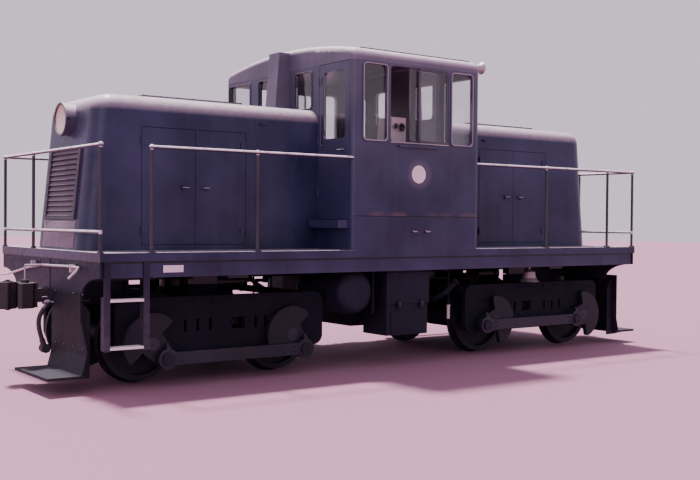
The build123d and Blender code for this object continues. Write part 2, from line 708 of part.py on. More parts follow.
for door_end, door_side, seam_x in hood_doors:
    side = side_of[door_side]
    face_y = side * hood_half_w
    for leaf_name, toward in (("a", -1), ("b", 1)):
        hinge_x = seam_x + toward * (hood_door_w + 1.5 * door_gap)
        with BuildPart() as leaf:
            block((seam_x + toward * door_gap / 2, seam_x + toward * (door_gap / 2 + hood_door_w)),
                  (face_y - side * hood_wall, face_y), (deck_z + hood_door_z[0], deck_z + hood_door_z[1]))
            with Locations((seam_x + toward * 142, face_y + side * 5, deck_z + handle_z)):
                Box(44, 10, 64)
            bar((seam_x + toward * 142, face_y, deck_z + handle_z), (seam_x + toward * 142, face_y + side * 26,
                                                                    deck_z + handle_z), 11)
            with Locations((seam_x + toward * 124, face_y + side * 26, deck_z + handle_z)):
                Box(64, 12, 20)
            for z in (-0.38, 0.38):
                hinge_z = door_mid_z + z * door_h
                bar((hinge_x, face_y + side * hinge_out, hinge_z - 45), (hinge_x, face_y + side * hinge_out, hinge_z + 45),
                    hinge_r)
                block((hinge_x, hinge_x - toward * 70), (face_y, face_y + side * (hinge_out - 4)),
                      (hinge_z - 40, hinge_z + 40))
        finish(leaf, f"hood_door_{door_end}_{door_side}_{leaf_name}")

# Grilles: a raised frame and sloping louvres in each nose
with BuildPart() as grilles:
    for _, along in ends:
        plane = Plane((along * grille_x, 0, grille_mid), x_dir=(0, 1, 0),
                      z_dir=(along * cos(radians(hood_rake)), 0, sin(radians(hood_rake))))
        half_h = (grille_z[1] - grille_z[0]) / 2 / cos(radians(hood_rake))
        with BuildSketch(plane):
            Rectangle(2 * (grille_half_w + grille_frame_w), 2 * (half_h + grille_frame_w / 2))
            Rectangle(2 * grille_half_w - 4, 2 * half_h - 4, mode=Mode.SUBTRACT)
        extrude(amount=grille_frame_t)
        pitch = 2 * half_h / louvre_count
        for row in range(louvre_count):
            centre = plane.from_local_coords((0, (row - (louvre_count - 1) / 2) * pitch, 0))
            with BuildSketch(Plane(centre, x_dir=(0, 1, 0), z_dir=(along, 0, louvre_lean))):
                Rectangle(2 * grille_half_w - 3, pitch - 3)
            extrude(amount=louvre_t / 2, both=True)
finish(grilles, "grilles")

# Headlights: a drum and its rim on the brow of each nose
light_x = hood_nose_x - light_z_over_deck * hood_tan + drum_out_of_nose
rim_l, drum_l = 30, 340
with BuildPart() as headlights:
    for _, along in ends:
        with BuildSketch(facing(-along, along * light_x, 0, light_z)):
            Circle(drum_r - 8)
        extrude(amount=drum_l)
        with BuildSketch(facing(-along, along * light_x, 0, light_z)):
            Circle(drum_r)
        extrude(amount=rim_l)
        with BuildSketch(facing(-along, along * light_x, 0, light_z)):
            Circle(lens_r)
        extrude(amount=60, mode=Mode.SUBTRACT)
        add(hood_form(along, -0.1), mode=Mode.SUBTRACT)
finish(headlights, "headlights")
with BuildPart() as lenses:
    for _, along in ends:
        with BuildSketch(facing(-along, along * (light_x - rim_l / 2), 0, light_z)):
            Circle(lens_r - 0.3)
        extrude(amount=glass_t + 4)
finish(lenses, "headlight_lenses")

# Hatches on the hood tops, exhaust casings against the cab, engines inside
with BuildPart() as hatches:
    for _, along in ends:
        with BuildSketch(Plane.XY.offset(deck_z + hood_h)):
            with Locations((along * hatch_x, 0)):
                RectangleRounded(hatch_l, hatch_w, 40)
        extrude(amount=hatch_t, taper=12)
finish(hatches, "hood_hatches")
with BuildPart() as stacks:
    head_z = deck_z + cab_crown_h - 45
    for _, along in ends:
        with BuildSketch(at(0, stack_half_w, 0)):
            with BuildLine():
                Polyline([(along * cab_half, deck_z + hood_h), (along * (cab_half + stack_l[1]), deck_z + hood_h),
                          (along * (cab_half + stack_l[0]), head_z), (along * cab_half, head_z)], close=True)
            make_face()
        extrude(amount=2 * stack_half_w)
        with BuildSketch(Plane.XY.offset(head_z)):
            with Locations((along * (cab_half + stack_l[0] / 2), 0)):
                Circle(62)
        extrude(amount=-180, mode=Mode.SUBTRACT)
finish(stacks, "exhaust_stacks")
with BuildPart() as engines:
    for _, along in ends:
        block((along * (cab_half + engine_gap), along * (cab_half + engine_gap + engine_l)),
              (-engine_w / 2, engine_w / 2), (deck_z, deck_z + engine_h))
finish(engines, "engines")

# Cab: walls with their windows and two doorways
quarter_lights = (        # middle, width, foot
    (-660, 340, window_foot), (660, 340, window_foot),
)
sliding_lights = ((0, 880, window_foot),)
bulkhead_lights = (       # middle, positive towards the door, width, foot
    (-1085, 530, 1260), (-425, 350, 1650), (425, 350, 1650),
)
door_mid = sum(cab_door_y) / 2
door_w = cab_door_y[1] - cab_door_y[0]
door_rise = cab_door_z[1] - cab_door_z[0]
stop_w = 15
seam_z, seam_half, seam_w = 384, 890, 6
rest_x, rest_z, rest_out, rest_t = (-331, 274), 1194, 42, 22
latch_x, latch_z = (-91, 108), 208
step_z, step_l = (247, 338), 150


def lights(table, head, grow=0):
    """Window outlines from a table of middle, width and foot, each grown by grow."""
    for mid, width, foot in table:
        with Locations((mid, (foot + head) / 2)):
            RectangleRounded(width + 2 * grow, head - foot + 2 * grow, window_r + grow)


with BuildPart() as cab_walls:
    with BuildSketch(Plane.XY.offset(deck_z)):
        cab_outline(0)
    extrude(amount=cab_eave_h)
    with BuildSketch(Plane.XY.offset(deck_z)):
        cab_outline(cab_wall)
    extrude(amount=cab_eave_h, mode=Mode.SUBTRACT)
    with BuildSketch(at(0, side_y + 10, deck_z)):
        lights(quarter_lights, window_head)
        lights(sliding_lights, window_head)
    extrude(amount=deck_w + 20, mode=Mode.SUBTRACT)
    for _, side in sides:
        with BuildSketch(at(0, side * side_y, deck_z)):
            lights(quarter_lights, window_head, frame_w)
            for mid, width, foot in quarter_lights:
                with Locations((mid, (foot + window_head) / 2)):
                    RectangleRounded(width, window_head - foot, window_r, mode=Mode.SUBTRACT)
        extrude(amount=-side * frame_out)
        block(rest_x, (side * side_y, side * (side_y + rest_out)),
              (deck_z + rest_z - rest_t / 2, deck_z + rest_z + rest_t / 2))
        with Locations((0, side * side_y, deck_z + seam_z)):
            Box(2 * seam_half, 2 * seam_w, seam_w, mode=Mode.SUBTRACT)
        for x in latch_x:
            bar((x, side * side_y, deck_z + latch_z), (x, side * (side_y + 14), deck_z + latch_z), 16)
            block((x, x + 46), (side * (side_y + 10), side * (side_y + 20)), (deck_z + latch_z - 9, deck_z + latch_z + 9))
    for _, along in ends:
        with BuildSketch(facing(along, along * cab_half, 0, deck_z)):
            lights(bulkhead_lights, bulkhead_head, frame_w)
        extrude(amount=frame_out)
        with BuildSketch(facing(along, along * (cab_half - 2 * cab_wall), 0, deck_z)):
            lights(bulkhead_lights, bulkhead_head)
            with Locations((door_mid, sum(cab_door_z) / 2)):
                Rectangle(door_w - 2 * stop_w, door_rise - 2 * stop_w)
        extrude(amount=3 * cab_wall, mode=Mode.SUBTRACT)
        with BuildSketch(facing(along, along * (cab_half - cab_door_t - 0.3), 0, deck_z)):
            with Locations((door_mid, sum(cab_door_z) / 2)):
                Rectangle(door_w, door_rise)
        extrude(amount=2 * cab_wall, mode=Mode.SUBTRACT)
        block((along * cab_half, along * (cab_half + step_l)), (along * cab_door_y[0], along * cab_door_y[1]),
              (deck_z + step_z[0], deck_z + step_z[1]))
finish(cab_walls, "cab_walls")


def roof_form(inset):
    """Solid under the arch of the roof, drawn in from its outside by inset."""
    with BuildPart() as form:
        with BuildSketch(Plane.YZ.offset(inset - cab_half)) as arch:
            with Locations((0, sum(roof_side) / 2)):
                Rectangle(2 * (side_y - inset), roof_side[1] - roof_side[0])
            with Locations((0, roof_side[1] - roof_r - inset)):
                Circle(roof_r, mode=Mode.INTERSECT)
            fillet(arch.vertices().sort_by(Axis.Y)[-2:], cab_eave_r - inset)
        extrude(amount=2 * (cab_half - inset))
        rim = [e for e in form.edges() if abs(e.center().X) > cab_half - inset - 1 and e.center().Z > roof_side[0] + 1]
        fillet(rim, cab_corner_r - inset)
    return form.part


with BuildPart() as cab_roof:
    add(roof_form(0))
    add(roof_form(roof_t), mode=Mode.SUBTRACT)
finish(cab_roof, "cab_roof")
with BuildPart() as cab_floor:
    with BuildSketch(Plane.XY.offset(floor_z - cab_floor_t)):
        cab_outline(cab_wall)
    extrude(amount=cab_floor_t)
finish(cab_floor, "cab_floor")

pane_w = door_w - 170
for (end, along), (side_name, side) in zip(ends, sides):
    face_x = along * cab_half
    hinge_x = face_x + along * hinge_out
    with BuildPart() as cab_door:
        block((face_x - along * cab_door_t, face_x), (side * (cab_door_y[0] + door_gap), side * (cab_door_y[1] - door_gap)),
              (deck_z + cab_door_z[0] + door_gap, deck_z + cab_door_z[1] - door_gap))
        with BuildSketch(facing(along, face_x - along * 2 * cab_wall, 0, deck_z)):
            lights(((door_mid, pane_w, door_window_foot),), bulkhead_head - 50)
        extrude(amount=3 * cab_wall, mode=Mode.SUBTRACT)
        block((face_x, face_x + along * 14), (side * (cab_door_y[1] - 130), side * (cab_door_y[1] - 60)),
              (deck_z + 1100, deck_z + 1160))
        handle_y = side * (cab_door_y[1] - 95)
        bar((face_x, handle_y, deck_z + 1130), (face_x + along * 45, handle_y, deck_z + 1130), 10)
        bar((face_x + along * 40, handle_y, deck_z + 1130), (face_x + along * 40, handle_y - side * 90, deck_z + 1130), 9)
        for y in (1194, 1550):
            bar((face_x, side * 830, deck_z + y), (face_x + along * 30, side * 830, deck_z + y), 8)
        bar((face_x + along * 26, side * 830, deck_z + 1186), (face_x + along * 26, side * 830, deck_z + 1558), 8)
        for z in (600, 1200, 1900):
            bar((hinge_x, side * cab_door_y[0], deck_z + z), (hinge_x, side * cab_door_y[0], deck_z + z + 90), hinge_r)
            block((face_x, face_x + along * (hinge_out - 4)), (side * cab_door_y[0], side * (cab_door_y[0] + 48)),
                  (deck_z + z + 5, deck_z + z + 85))
    finish(cab_door, f"cab_door_{end}_{side_name}")
    with BuildPart() as door_glass:
        with BuildSketch(facing(along, face_x - along * (cab_door_t + glass_t) / 2, 0, deck_z)):
            lights(((door_mid, pane_w, door_window_foot),), bulkhead_head - 50, -0.2)
        extrude(amount=glass_t)
    finish(door_glass, f"cab_door_glass_{end}")

# Sliding sashes: two in each side opening, both pushed towards +X
sash_w = 455
sash_places = (           # x of the middle, middle of its track from the outside of the wall
    (82, 34), (212, 14),
)
sash_foot, sash_head = window_foot + fit_gap, window_head - fit_gap
with BuildPart() as sashes:
    for _, side in sides:
        for mid_x, depth in sash_places:
            with BuildSketch(at(mid_x, side * (side_y - depth - sash_t / 2), deck_z)):
                with Locations((0, (sash_foot + sash_head) / 2)):
                    RectangleRounded(sash_w, sash_head - sash_foot, window_r)
                    RectangleRounded(sash_w - 2 * sash_bar, sash_head - sash_foot - 2 * sash_bar, window_r - 15,
                                     mode=Mode.SUBTRACT)
            extrude(amount=-side * sash_t)
finish(sashes, "window_sashes")

with BuildPart() as glass:
    for _, side in sides:
        with BuildSketch(at(0, side * (side_y - cab_wall / 2), deck_z)):
            lights(quarter_lights, window_head, -0.2)
        extrude(amount=side * glass_t)
        for mid_x, depth in sash_places:
            with BuildSketch(at(mid_x, side * (side_y - depth - glass_t / 2), deck_z)):
                with Locations((0, (sash_foot + sash_head) / 2)):
                    RectangleRounded(sash_w - 2 * sash_bar - 0.4, sash_head - sash_foot - 2 * sash_bar - 0.4,
                                     window_r - 15)
            extrude(amount=-side * glass_t)
    for _, along in ends:
        with BuildSketch(facing(along, along * (cab_half - cab_wall / 2), 0, deck_z)):
            lights(bulkhead_lights, bulkhead_head, -0.2)
        extrude(amount=glass_t)
finish(glass, "cab_glass")

# Cab fittings: control stand with its gauges and levers, and two seats on pedestals
stand_x, stand_y = (-150, 90), (-1090, -800)
desk_z, stand_top = 1270, 1570
gauge_places = (          # x, height above the deck top, radius
    (-92, 1462, 38), (-4, 1450, 55),
)
seat_places = ((-520, -1050, -1), (520, 1050, 1))   # x, y, end that the back is towards
seat_h = 620
with BuildPart() as control_stand:
    block(stand_x, stand_y, (floor_z, deck_z + desk_z))
    with BuildSketch(at(0, stand_y[1] - 10, deck_z)):
        with BuildLine():
            Polyline([(stand_x[0] + 5, desk_z), (stand_x[1] - 5, desk_z), (stand_x[1] - 5, stand_top),
                      (stand_x[0] + 25, stand_top)], close=True)
        make_face()
    extrude(amount=stand_y[1] - stand_y[0] - 20)
    for x, z, r in gauge_places:
        with Locations(Plane(origin=(x, stand_y[0], deck_z + z), z_dir=(0, -1, 0))):
            Cylinder(r, 44)
    bar((stand_x[0] + 60, -1060, deck_z + stand_top - 40), (stand_x[0] - 60, -1060, deck_z + stand_top + 60), 10)
    bar((stand_x[0] + 60, -840, deck_z + stand_top - 40), (stand_x[0] - 40, -840, deck_z + stand_top + 50), 10)
    for x, y, _ in seat_places:
        with Locations((x, y, floor_z + seat_h / 2 - 40)):
            Cylinder(45, seat_h - 80)
        with Locations((x, y, floor_z + 10)):
            Cylinder(140, 20)
finish(control_stand, "control_stand")
with BuildPart() as seats:
    for x, y, back in seat_places:
        with BuildSketch(Plane.XY.offset(floor_z + seat_h - 80)):
            with Locations((x, y)):
                RectangleRounded(420, 420, 60)
        extrude(amount=80)
        with BuildSketch(facing(back, x + back * 150, 0, floor_z + seat_h + 250)):
            with Locations((back * y, -10)):
                RectangleRounded(400, 520, 60)
        extrude(amount=60)
finish(seats, "seats")

# Below the deck: fuel tank, equipment boxes, air reservoirs, bell and horn
tank_l, tank_w, tank_h, tank_r = 900, 1600, 600, 90
filler_r = 32
filler_route = (          # x towards the rear on the -Y side, distance from the centre line, drop below the deck top
    (380, 780, 640), (470, 1180, 620), (550, 1290, 545), (690, 1310, 425),
)
with BuildPart() as fuel_tank:
    with BuildSketch(Plane.YZ.offset(-tank_l / 2)):
        with Locations((0, deck_z - centre_sill_h - tank_h / 2)):
            RectangleRounded(tank_w, tank_h, tank_r)
    extrude(amount=tank_l)
    for side in (-1, 1):
        neck = [(-side * x, side * y, deck_z - drop) for x, y, drop in filler_route]
        pipe(neck, filler_r)
        bar(neck[-1], Vector(neck[-1]) + (Vector(neck[-1]) - Vector(neck[-2])).normalized() * 40, filler_r + 14)
finish(fuel_tank, "fuel_tank")
box_x, box_drop, box_in, box_out = (-358, 263), 1010, 850, 1300
lid_drop = 640
with BuildPart() as boxes:
    for _, side in sides:
        block(box_x, (side * box_in, side * box_out), (deck_z - box_drop, deck_z - sill_h))
        block((box_x[0] - 14, box_x[1] + 14), (side * (box_out - 60), side * (box_out + 16)),
              (deck_z - lid_drop, deck_z - sill_h - 30))
        for x in (box_x[0] + 170, box_x[1] - 110):
            block((x - 26, x + 26), (side * (box_out + 10), side * (box_out + 34)),
                  (deck_z - lid_drop - 60, deck_z - lid_drop + 40))
        block((box_x[0] + 60, box_x[1] - 60), (side * box_out, side * (box_out + 8)),
              (deck_z - box_drop + 40, deck_z - lid_drop - 90))
finish(boxes, "equipment_boxes")
tank_x, drum_out, drum_in, drum_z = 785, 1300, 350, deck_z - 490
reservoir_r = 245
with BuildPart() as reservoirs:
    for (_, along), (_, side) in zip(ends, sides):
        bar((along * tank_x, side * drum_in, drum_z), (along * tank_x, side * drum_out, drum_z), reservoir_r)
    fillet(reservoirs.edges().filter_by(GeomType.CIRCLE), 85)
    for (_, along), (_, side) in zip(ends, sides):
        for y in (drum_in + 240, drum_out - 240):
            with BuildSketch(at(along * tank_x, side * y, drum_z)):
                Circle(reservoir_r + 8)
            extrude(amount=-side * 60)
            block((along * tank_x - 55, along * tank_x + 55), (side * y, side * (y + 60)),
                  (drum_z + reservoir_r - 30, deck_z - deck_plate_t))
finish(reservoirs, "air_reservoirs")
bell_x, bell_y = 2100, side_y - 248
bell_profile = (          # radius, drop below the deck top
    (0, 285), (35, 290), (78, 318), (92, 400), (135, 450), (118, 450), (76, 400), (60, 330), (0, 315),
)
with BuildPart() as bell:
    with BuildSketch(at(bell_x, -bell_y, deck_z)):
        with BuildLine():
            Polyline([(r, -drop) for r, drop in bell_profile], close=True)
        make_face()
    revolve(axis=Axis((bell_x, -bell_y, 0), (0, 0, 1)))
    bar((bell_x, -bell_y, deck_z - 295), (bell_x, -bell_y, deck_z - deck_plate_t), 16)
    bar((bell_x, -bell_y, deck_z - 20), (bell_x, -bell_y, deck_z - deck_plate_t), 60)
finish(bell, "bell")
horn_profile = (          # radius, distance out from the cab
    (0, 6), (30, 6), (30, 150), (46, 205), (78, 245), (70, 245), (38, 205), (0, 180),
)
horn_y, horn_z, horn_foot = side_y - 248, deck_z + 2257, 100
with BuildPart() as horn:
    with BuildSketch(Plane(origin=(cab_half, -horn_y, horn_z), x_dir=(0, 0, 1), z_dir=(0, 1, 0))):
        with BuildLine():
            Polyline([(r, out) for r, out in horn_profile], close=True)
        make_face()
    revolve(axis=Axis((cab_half, -horn_y, horn_z), (1, 0, 0)))
    block((cab_half, cab_half + 30), (-horn_y - 35, -horn_y + 35), (horn_z - horn_foot, horn_z + 34))
finish(horn, "horn")
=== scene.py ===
from math import cos, pi, radians, sin

import bmesh
import bpy
from mathutils import Matrix, Vector


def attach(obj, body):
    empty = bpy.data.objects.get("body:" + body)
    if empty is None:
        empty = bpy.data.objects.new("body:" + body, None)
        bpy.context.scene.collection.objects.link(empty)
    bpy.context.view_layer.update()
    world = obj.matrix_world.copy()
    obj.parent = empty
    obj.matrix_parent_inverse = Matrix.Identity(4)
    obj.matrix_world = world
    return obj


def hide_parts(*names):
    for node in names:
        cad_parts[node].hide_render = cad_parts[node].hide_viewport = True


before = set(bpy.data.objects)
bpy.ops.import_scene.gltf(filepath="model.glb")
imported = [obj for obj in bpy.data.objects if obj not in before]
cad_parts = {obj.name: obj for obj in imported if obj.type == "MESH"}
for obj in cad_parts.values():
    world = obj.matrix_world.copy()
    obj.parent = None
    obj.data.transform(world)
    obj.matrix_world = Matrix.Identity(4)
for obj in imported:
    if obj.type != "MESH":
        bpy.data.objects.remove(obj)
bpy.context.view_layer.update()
print("frame loaded:", len(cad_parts), "nodes")

# places that several pieces share, in metres
deckTop = 1.383
deckHalf = 3.934
sideFace = 1.448         # sides of the sills and of the cab
cabHalf = 0.959
hoodFace = 0.740         # sides of the hoods
noseFoot = 3.815         # nose of a hood, level with the deck
noseSlope = 0.10158      # how far it leans back for each metre of height
noseRake = 0.10123       # its angle, in radians
truckMiddle = 2.4
axleReach = 0.838        # axles from the middle of their truck
axleHeight = 0.447
rodInner = 1.155         # inner faces of the side rods
ends = (("front", -1), ("rear", 1))
sides = (("near", -1), ("far", 1))


def linkObject(name, data):
    made = bpy.data.objects.new(name, data)
    bpy.context.scene.collection.objects.link(made)
    return made


camera = {
    "lens": 52.84,                       # millimetres
    "sensor": 36,                        # millimetres across 700 pixels
    "place": (-7.7737, -10.6782, 1.707),
    "heading": 53.74,                    # degrees from +X towards +Y
    "down": 1.05,
    "roll": 0.49,
    "clipEnd": 200,
}
headingAngle, downAngle, rollAngle = (radians(camera[key]) for key in ("heading", "down", "roll"))
lookAlong = Vector((cos(downAngle) * cos(headingAngle), cos(downAngle) * sin(headingAngle), -sin(downAngle)))
levelRight = Vector((sin(headingAngle), -cos(headingAngle), 0))
levelUp = levelRight.cross(lookAlong)
cameraRight = cos(rollAngle) * levelRight + sin(rollAngle) * levelUp
cameraUp = -sin(rollAngle) * levelRight + cos(rollAngle) * levelUp
cameraData = bpy.data.cameras.new("photoCamera")
cameraData.lens = camera["lens"]
cameraData.sensor_width = camera["sensor"]
cameraData.clip_end = camera["clipEnd"]
cameraObject = linkObject("photoCamera", cameraData)
cameraTurn = Matrix((cameraRight, cameraUp, -lookAlong)).transposed().to_4x4()
cameraObject.matrix_world = Matrix.Translation(camera["place"]) @ cameraTurn
bpy.context.scene.camera = cameraObject


def fillInputs(tree, node, values):
    for key, value in values.items():
        if isinstance(value, bpy.types.NodeSocket):
            tree.links.new(value, node.inputs[key])
        else:
            node.inputs[key].default_value = value


def addNode(tree, kind, inputs=None, **settings):
    made = tree.nodes.new(kind)
    for key, value in settings.items():
        setattr(made, key, value)
    fillInputs(tree, made, inputs or {})
    return made


def maths(tree, operation, *values):
    return addNode(tree, "ShaderNodeMath", dict(enumerate(values)), operation=operation).outputs[0]


def multiply(tree, first, *others):
    product = first
    for other in others:
        product = addNode(tree, "ShaderNodeMath", {0: product, 1: other}, operation="MULTIPLY",
                          use_clamp=True).outputs[0]
    return product


def remap(tree, value, low, high, toLow=0, toHigh=1):
    return addNode(tree, "ShaderNodeMapRange", {0: value, 1: low, 2: high, 3: toLow, 4: toHigh}).outputs[0]


def mixColour(tree, factor, a, b):
    return addNode(tree, "ShaderNodeMix", {0: factor, 6: a, 7: b}, data_type="RGBA").outputs[2]


def scaledNoise(tree, scale, detail, stretch=(1, 1, 1)):
    place = addNode(tree, "ShaderNodeTexCoord").outputs["Object"]
    mapped = addNode(tree, "ShaderNodeMapping", {"Vector": place, "Scale": stretch}).outputs[0]
    return addNode(tree, "ShaderNodeTexNoise", {"Vector": mapped, "Scale": scale, "Detail": detail}).outputs["Fac"]


def placeAlong(tree, axis):
    place = addNode(tree, "ShaderNodeTexCoord").outputs["Object"]
    return addNode(tree, "ShaderNodeSeparateXYZ", {0: place}).outputs[axis]


def fromMiddle(tree, axis):
    return maths(tree, "ABSOLUTE", placeAlong(tree, axis))


def facingUp(tree):
    # 1 where a face looks up, 0 where it stands upright
    normal = addNode(tree, "ShaderNodeNewGeometry").outputs["Normal"]
    return addNode(tree, "ShaderNodeSeparateXYZ", {0: normal}).outputs["Z"]


def newGroup(name, inputs, outputs):
    tree = bpy.data.node_groups.new(name, "ShaderNodeTree")
    for way, sockets in (("INPUT", inputs), ("OUTPUT", outputs)):
        for socketName, kind in sockets.items():
            tree.interface.new_socket(name=socketName, in_out=way, socket_type=f"NodeSocket{kind}")
    return tree, tree.nodes.new("NodeGroupInput").outputs, tree.nodes.new("NodeGroupOutput")


def placeGroup(tree, group, values):
    return addNode(tree, "ShaderNodeGroup", values, node_tree=group).outputs


# weathering: fading, rain streaks, dust low down, dust with a painted sheen on faces that look up, and chips, for
# every painted or cast finish
colourInputs = ("Paint", "Faded", "Dust", "Chip")
amountInputs = ("Fade", "Top Dust And Sheen", "Streaks", "Low Dust", "Chips", "Base Roughness")
weathering, given, groupOut = newGroup(
    "weathering", {**dict.fromkeys(colourInputs, "Color"), **dict.fromkeys(amountInputs, "Float")},
    {"Color": "Color", "Roughness": "Float", "Height": "Float"})
broad = remap(weathering, scaledNoise(weathering, 1.4, 5), 0.35, 0.7)
mottled = scaledNoise(weathering, 14, 6)
fine = scaledNoise(weathering, 95, 4)
streaked = remap(weathering, scaledNoise(weathering, 9, 5, (1, 1, 0.06)), 0.5, 0.78)
chipped = remap(weathering, scaledNoise(weathering, 34, 7), 0.66, 0.7)
upward = facingUp(weathering)
colour = mixColour(weathering, multiply(weathering, broad, given["Fade"]), given["Paint"], given["Faded"])
streaks = multiply(weathering, streaked, given["Streaks"], remap(weathering, mottled, 0.3, 0.7))
colour = mixColour(weathering, streaks, colour, given["Faded"])
lowMask = multiply(weathering, remap(weathering, placeAlong(weathering, "Z"), 1.25, 0.15),
                   remap(weathering, mottled, 0.32, 0.68, 0.35, 1), given["Low Dust"])
colour = mixColour(weathering, lowMask, colour, given["Dust"])
# the last factor leaves less dust and painted sheen on level faces, which rain and boots keep darker than the
# shoulders
topDustAndSheen = multiply(weathering, remap(weathering, upward, 0.08, 0.72), remap(weathering, mottled, 0.25, 0.75, 0.72, 1),
                   remap(weathering, upward, 0.88, 0.99, 1, 0.42), given["Top Dust And Sheen"])
colour = mixColour(weathering, topDustAndSheen, colour, given["Dust"])
chipMask = multiply(weathering, chipped, given["Chips"])
colour = mixColour(weathering, chipMask, colour, given["Chip"])
rough = maths(weathering, "ADD", given["Base Roughness"], remap(weathering, mottled, 0.3, 0.7, -0.06, 0.1))
rough = maths(weathering, "ADD", rough, multiply(weathering, topDustAndSheen, 0.35))
fillInputs(weathering, groupOut, {"Color": colour, "Roughness": rough,
                                  "Height": maths(weathering, "SUBTRACT", fine, chipMask)})

# height band: 1 where a point lies within a half width of a level
levelBand, given, groupOut = newGroup("levelBand", {"Level": "Float", "Half Width": "Float"}, {"Mask": "Float"})
away = maths(levelBand, "ABSOLUTE", maths(levelBand, "SUBTRACT", placeAlong(levelBand, "Z"), given["Level"]))
fillInputs(levelBand, groupOut, {"Mask": maths(levelBand, "LESS_THAN", away, given["Half Width"])})

# lozenge plate of the walkways
lozenges, given, groupOut = newGroup("lozenges", {"Pitch": "Float"}, {"Height": "Float"})
waves = []
for axis in "XY":
    share = maths(lozenges, "DIVIDE", placeAlong(lozenges, axis), given["Pitch"])
    waves.append(maths(lozenges, "SINE", maths(lozenges, "MULTIPLY", share, 2 * pi)))
fillInputs(lozenges, groupOut, {"Height": remap(lozenges, maths(lozenges, "MULTIPLY", *waves), 0.25, 0.55)})


def newMaterial(name):
    made = bpy.data.materials.new(name)
    made.use_nodes = True
    return made, made.node_tree, made.node_tree.nodes["Principled BSDF"]


def weatheredFinish(name, values, metallic=0.0, bump=0.15, coat=0.0, specular=0.5):
    made, tree, shader = newMaterial(name)
    weather = placeGroup(tree, weathering, values)
    relief = addNode(tree, "ShaderNodeBump", {"Height": weather["Height"], "Strength": bump, "Distance": 0.002})
    fillInputs(tree, shader, {
        "Base Color": weather["Color"], "Roughness": weather["Roughness"], "Normal": relief.outputs[0],
        "Metallic": metallic, "Specular IOR Level": specular, "Coat Weight": coat, "Coat Roughness": 0.25})
    return made


def overlay(finish, mask, colour):
    # paints a colour over a finish where the mask is 1
    tree = finish.node_tree
    painted = tree.nodes["Principled BSDF"].inputs["Base Color"]
    tree.links.new(mixColour(tree, mask, painted.links[0].from_socket, colour), painted)


def levelMask(tree, level, halfWidth):
    return placeGroup(tree, levelBand, {"Level": level, "Half Width": halfWidth})["Mask"]


def bandOver(finish, level, halfWidth, colour, upFrom=None, beyond=None):
    # paints a height band of colour, used for worn paint, painted highlights and painted shade lines; upFrom keeps it
    # to faces that look up, beyond to places that far out along X or Y
    tree = finish.node_tree
    mask = levelMask(tree, level, halfWidth)
    if upFrom is not None:
        mask = multiply(tree, mask, remap(tree, facingUp(tree), upFrom, upFrom + 0.4))
    if beyond is not None:
        outer = [maths(tree, "GREATER_THAN", fromMiddle(tree, axis), limit) for axis, limit in zip("XY", beyond)]
        mask = multiply(tree, mask, maths(tree, "MAXIMUM", *outer))
    overlay(finish, multiply(tree, mask, remap(tree, scaledNoise(tree, 18, 6), 0.28, 0.5, 0.45, 1)), colour)


navy, fadedNavy = (0.006, 0.0075, 0.038, 1), (0.032, 0.033, 0.092, 1)
black, grime = (0.003, 0.003, 0.008, 1), (0.008, 0.009, 0.020, 1)
white, cream = (0.80, 0.69, 0.77, 1), (0.86, 0.76, 0.82, 1)
# the pale dust colour also stands for a painted sheen on faces that look up
paleDustAndSheen, darkDust = (0.68, 0.55, 0.63, 1), (0.022, 0.018, 0.032, 1)
rust = (0.10, 0.05, 0.05, 1)
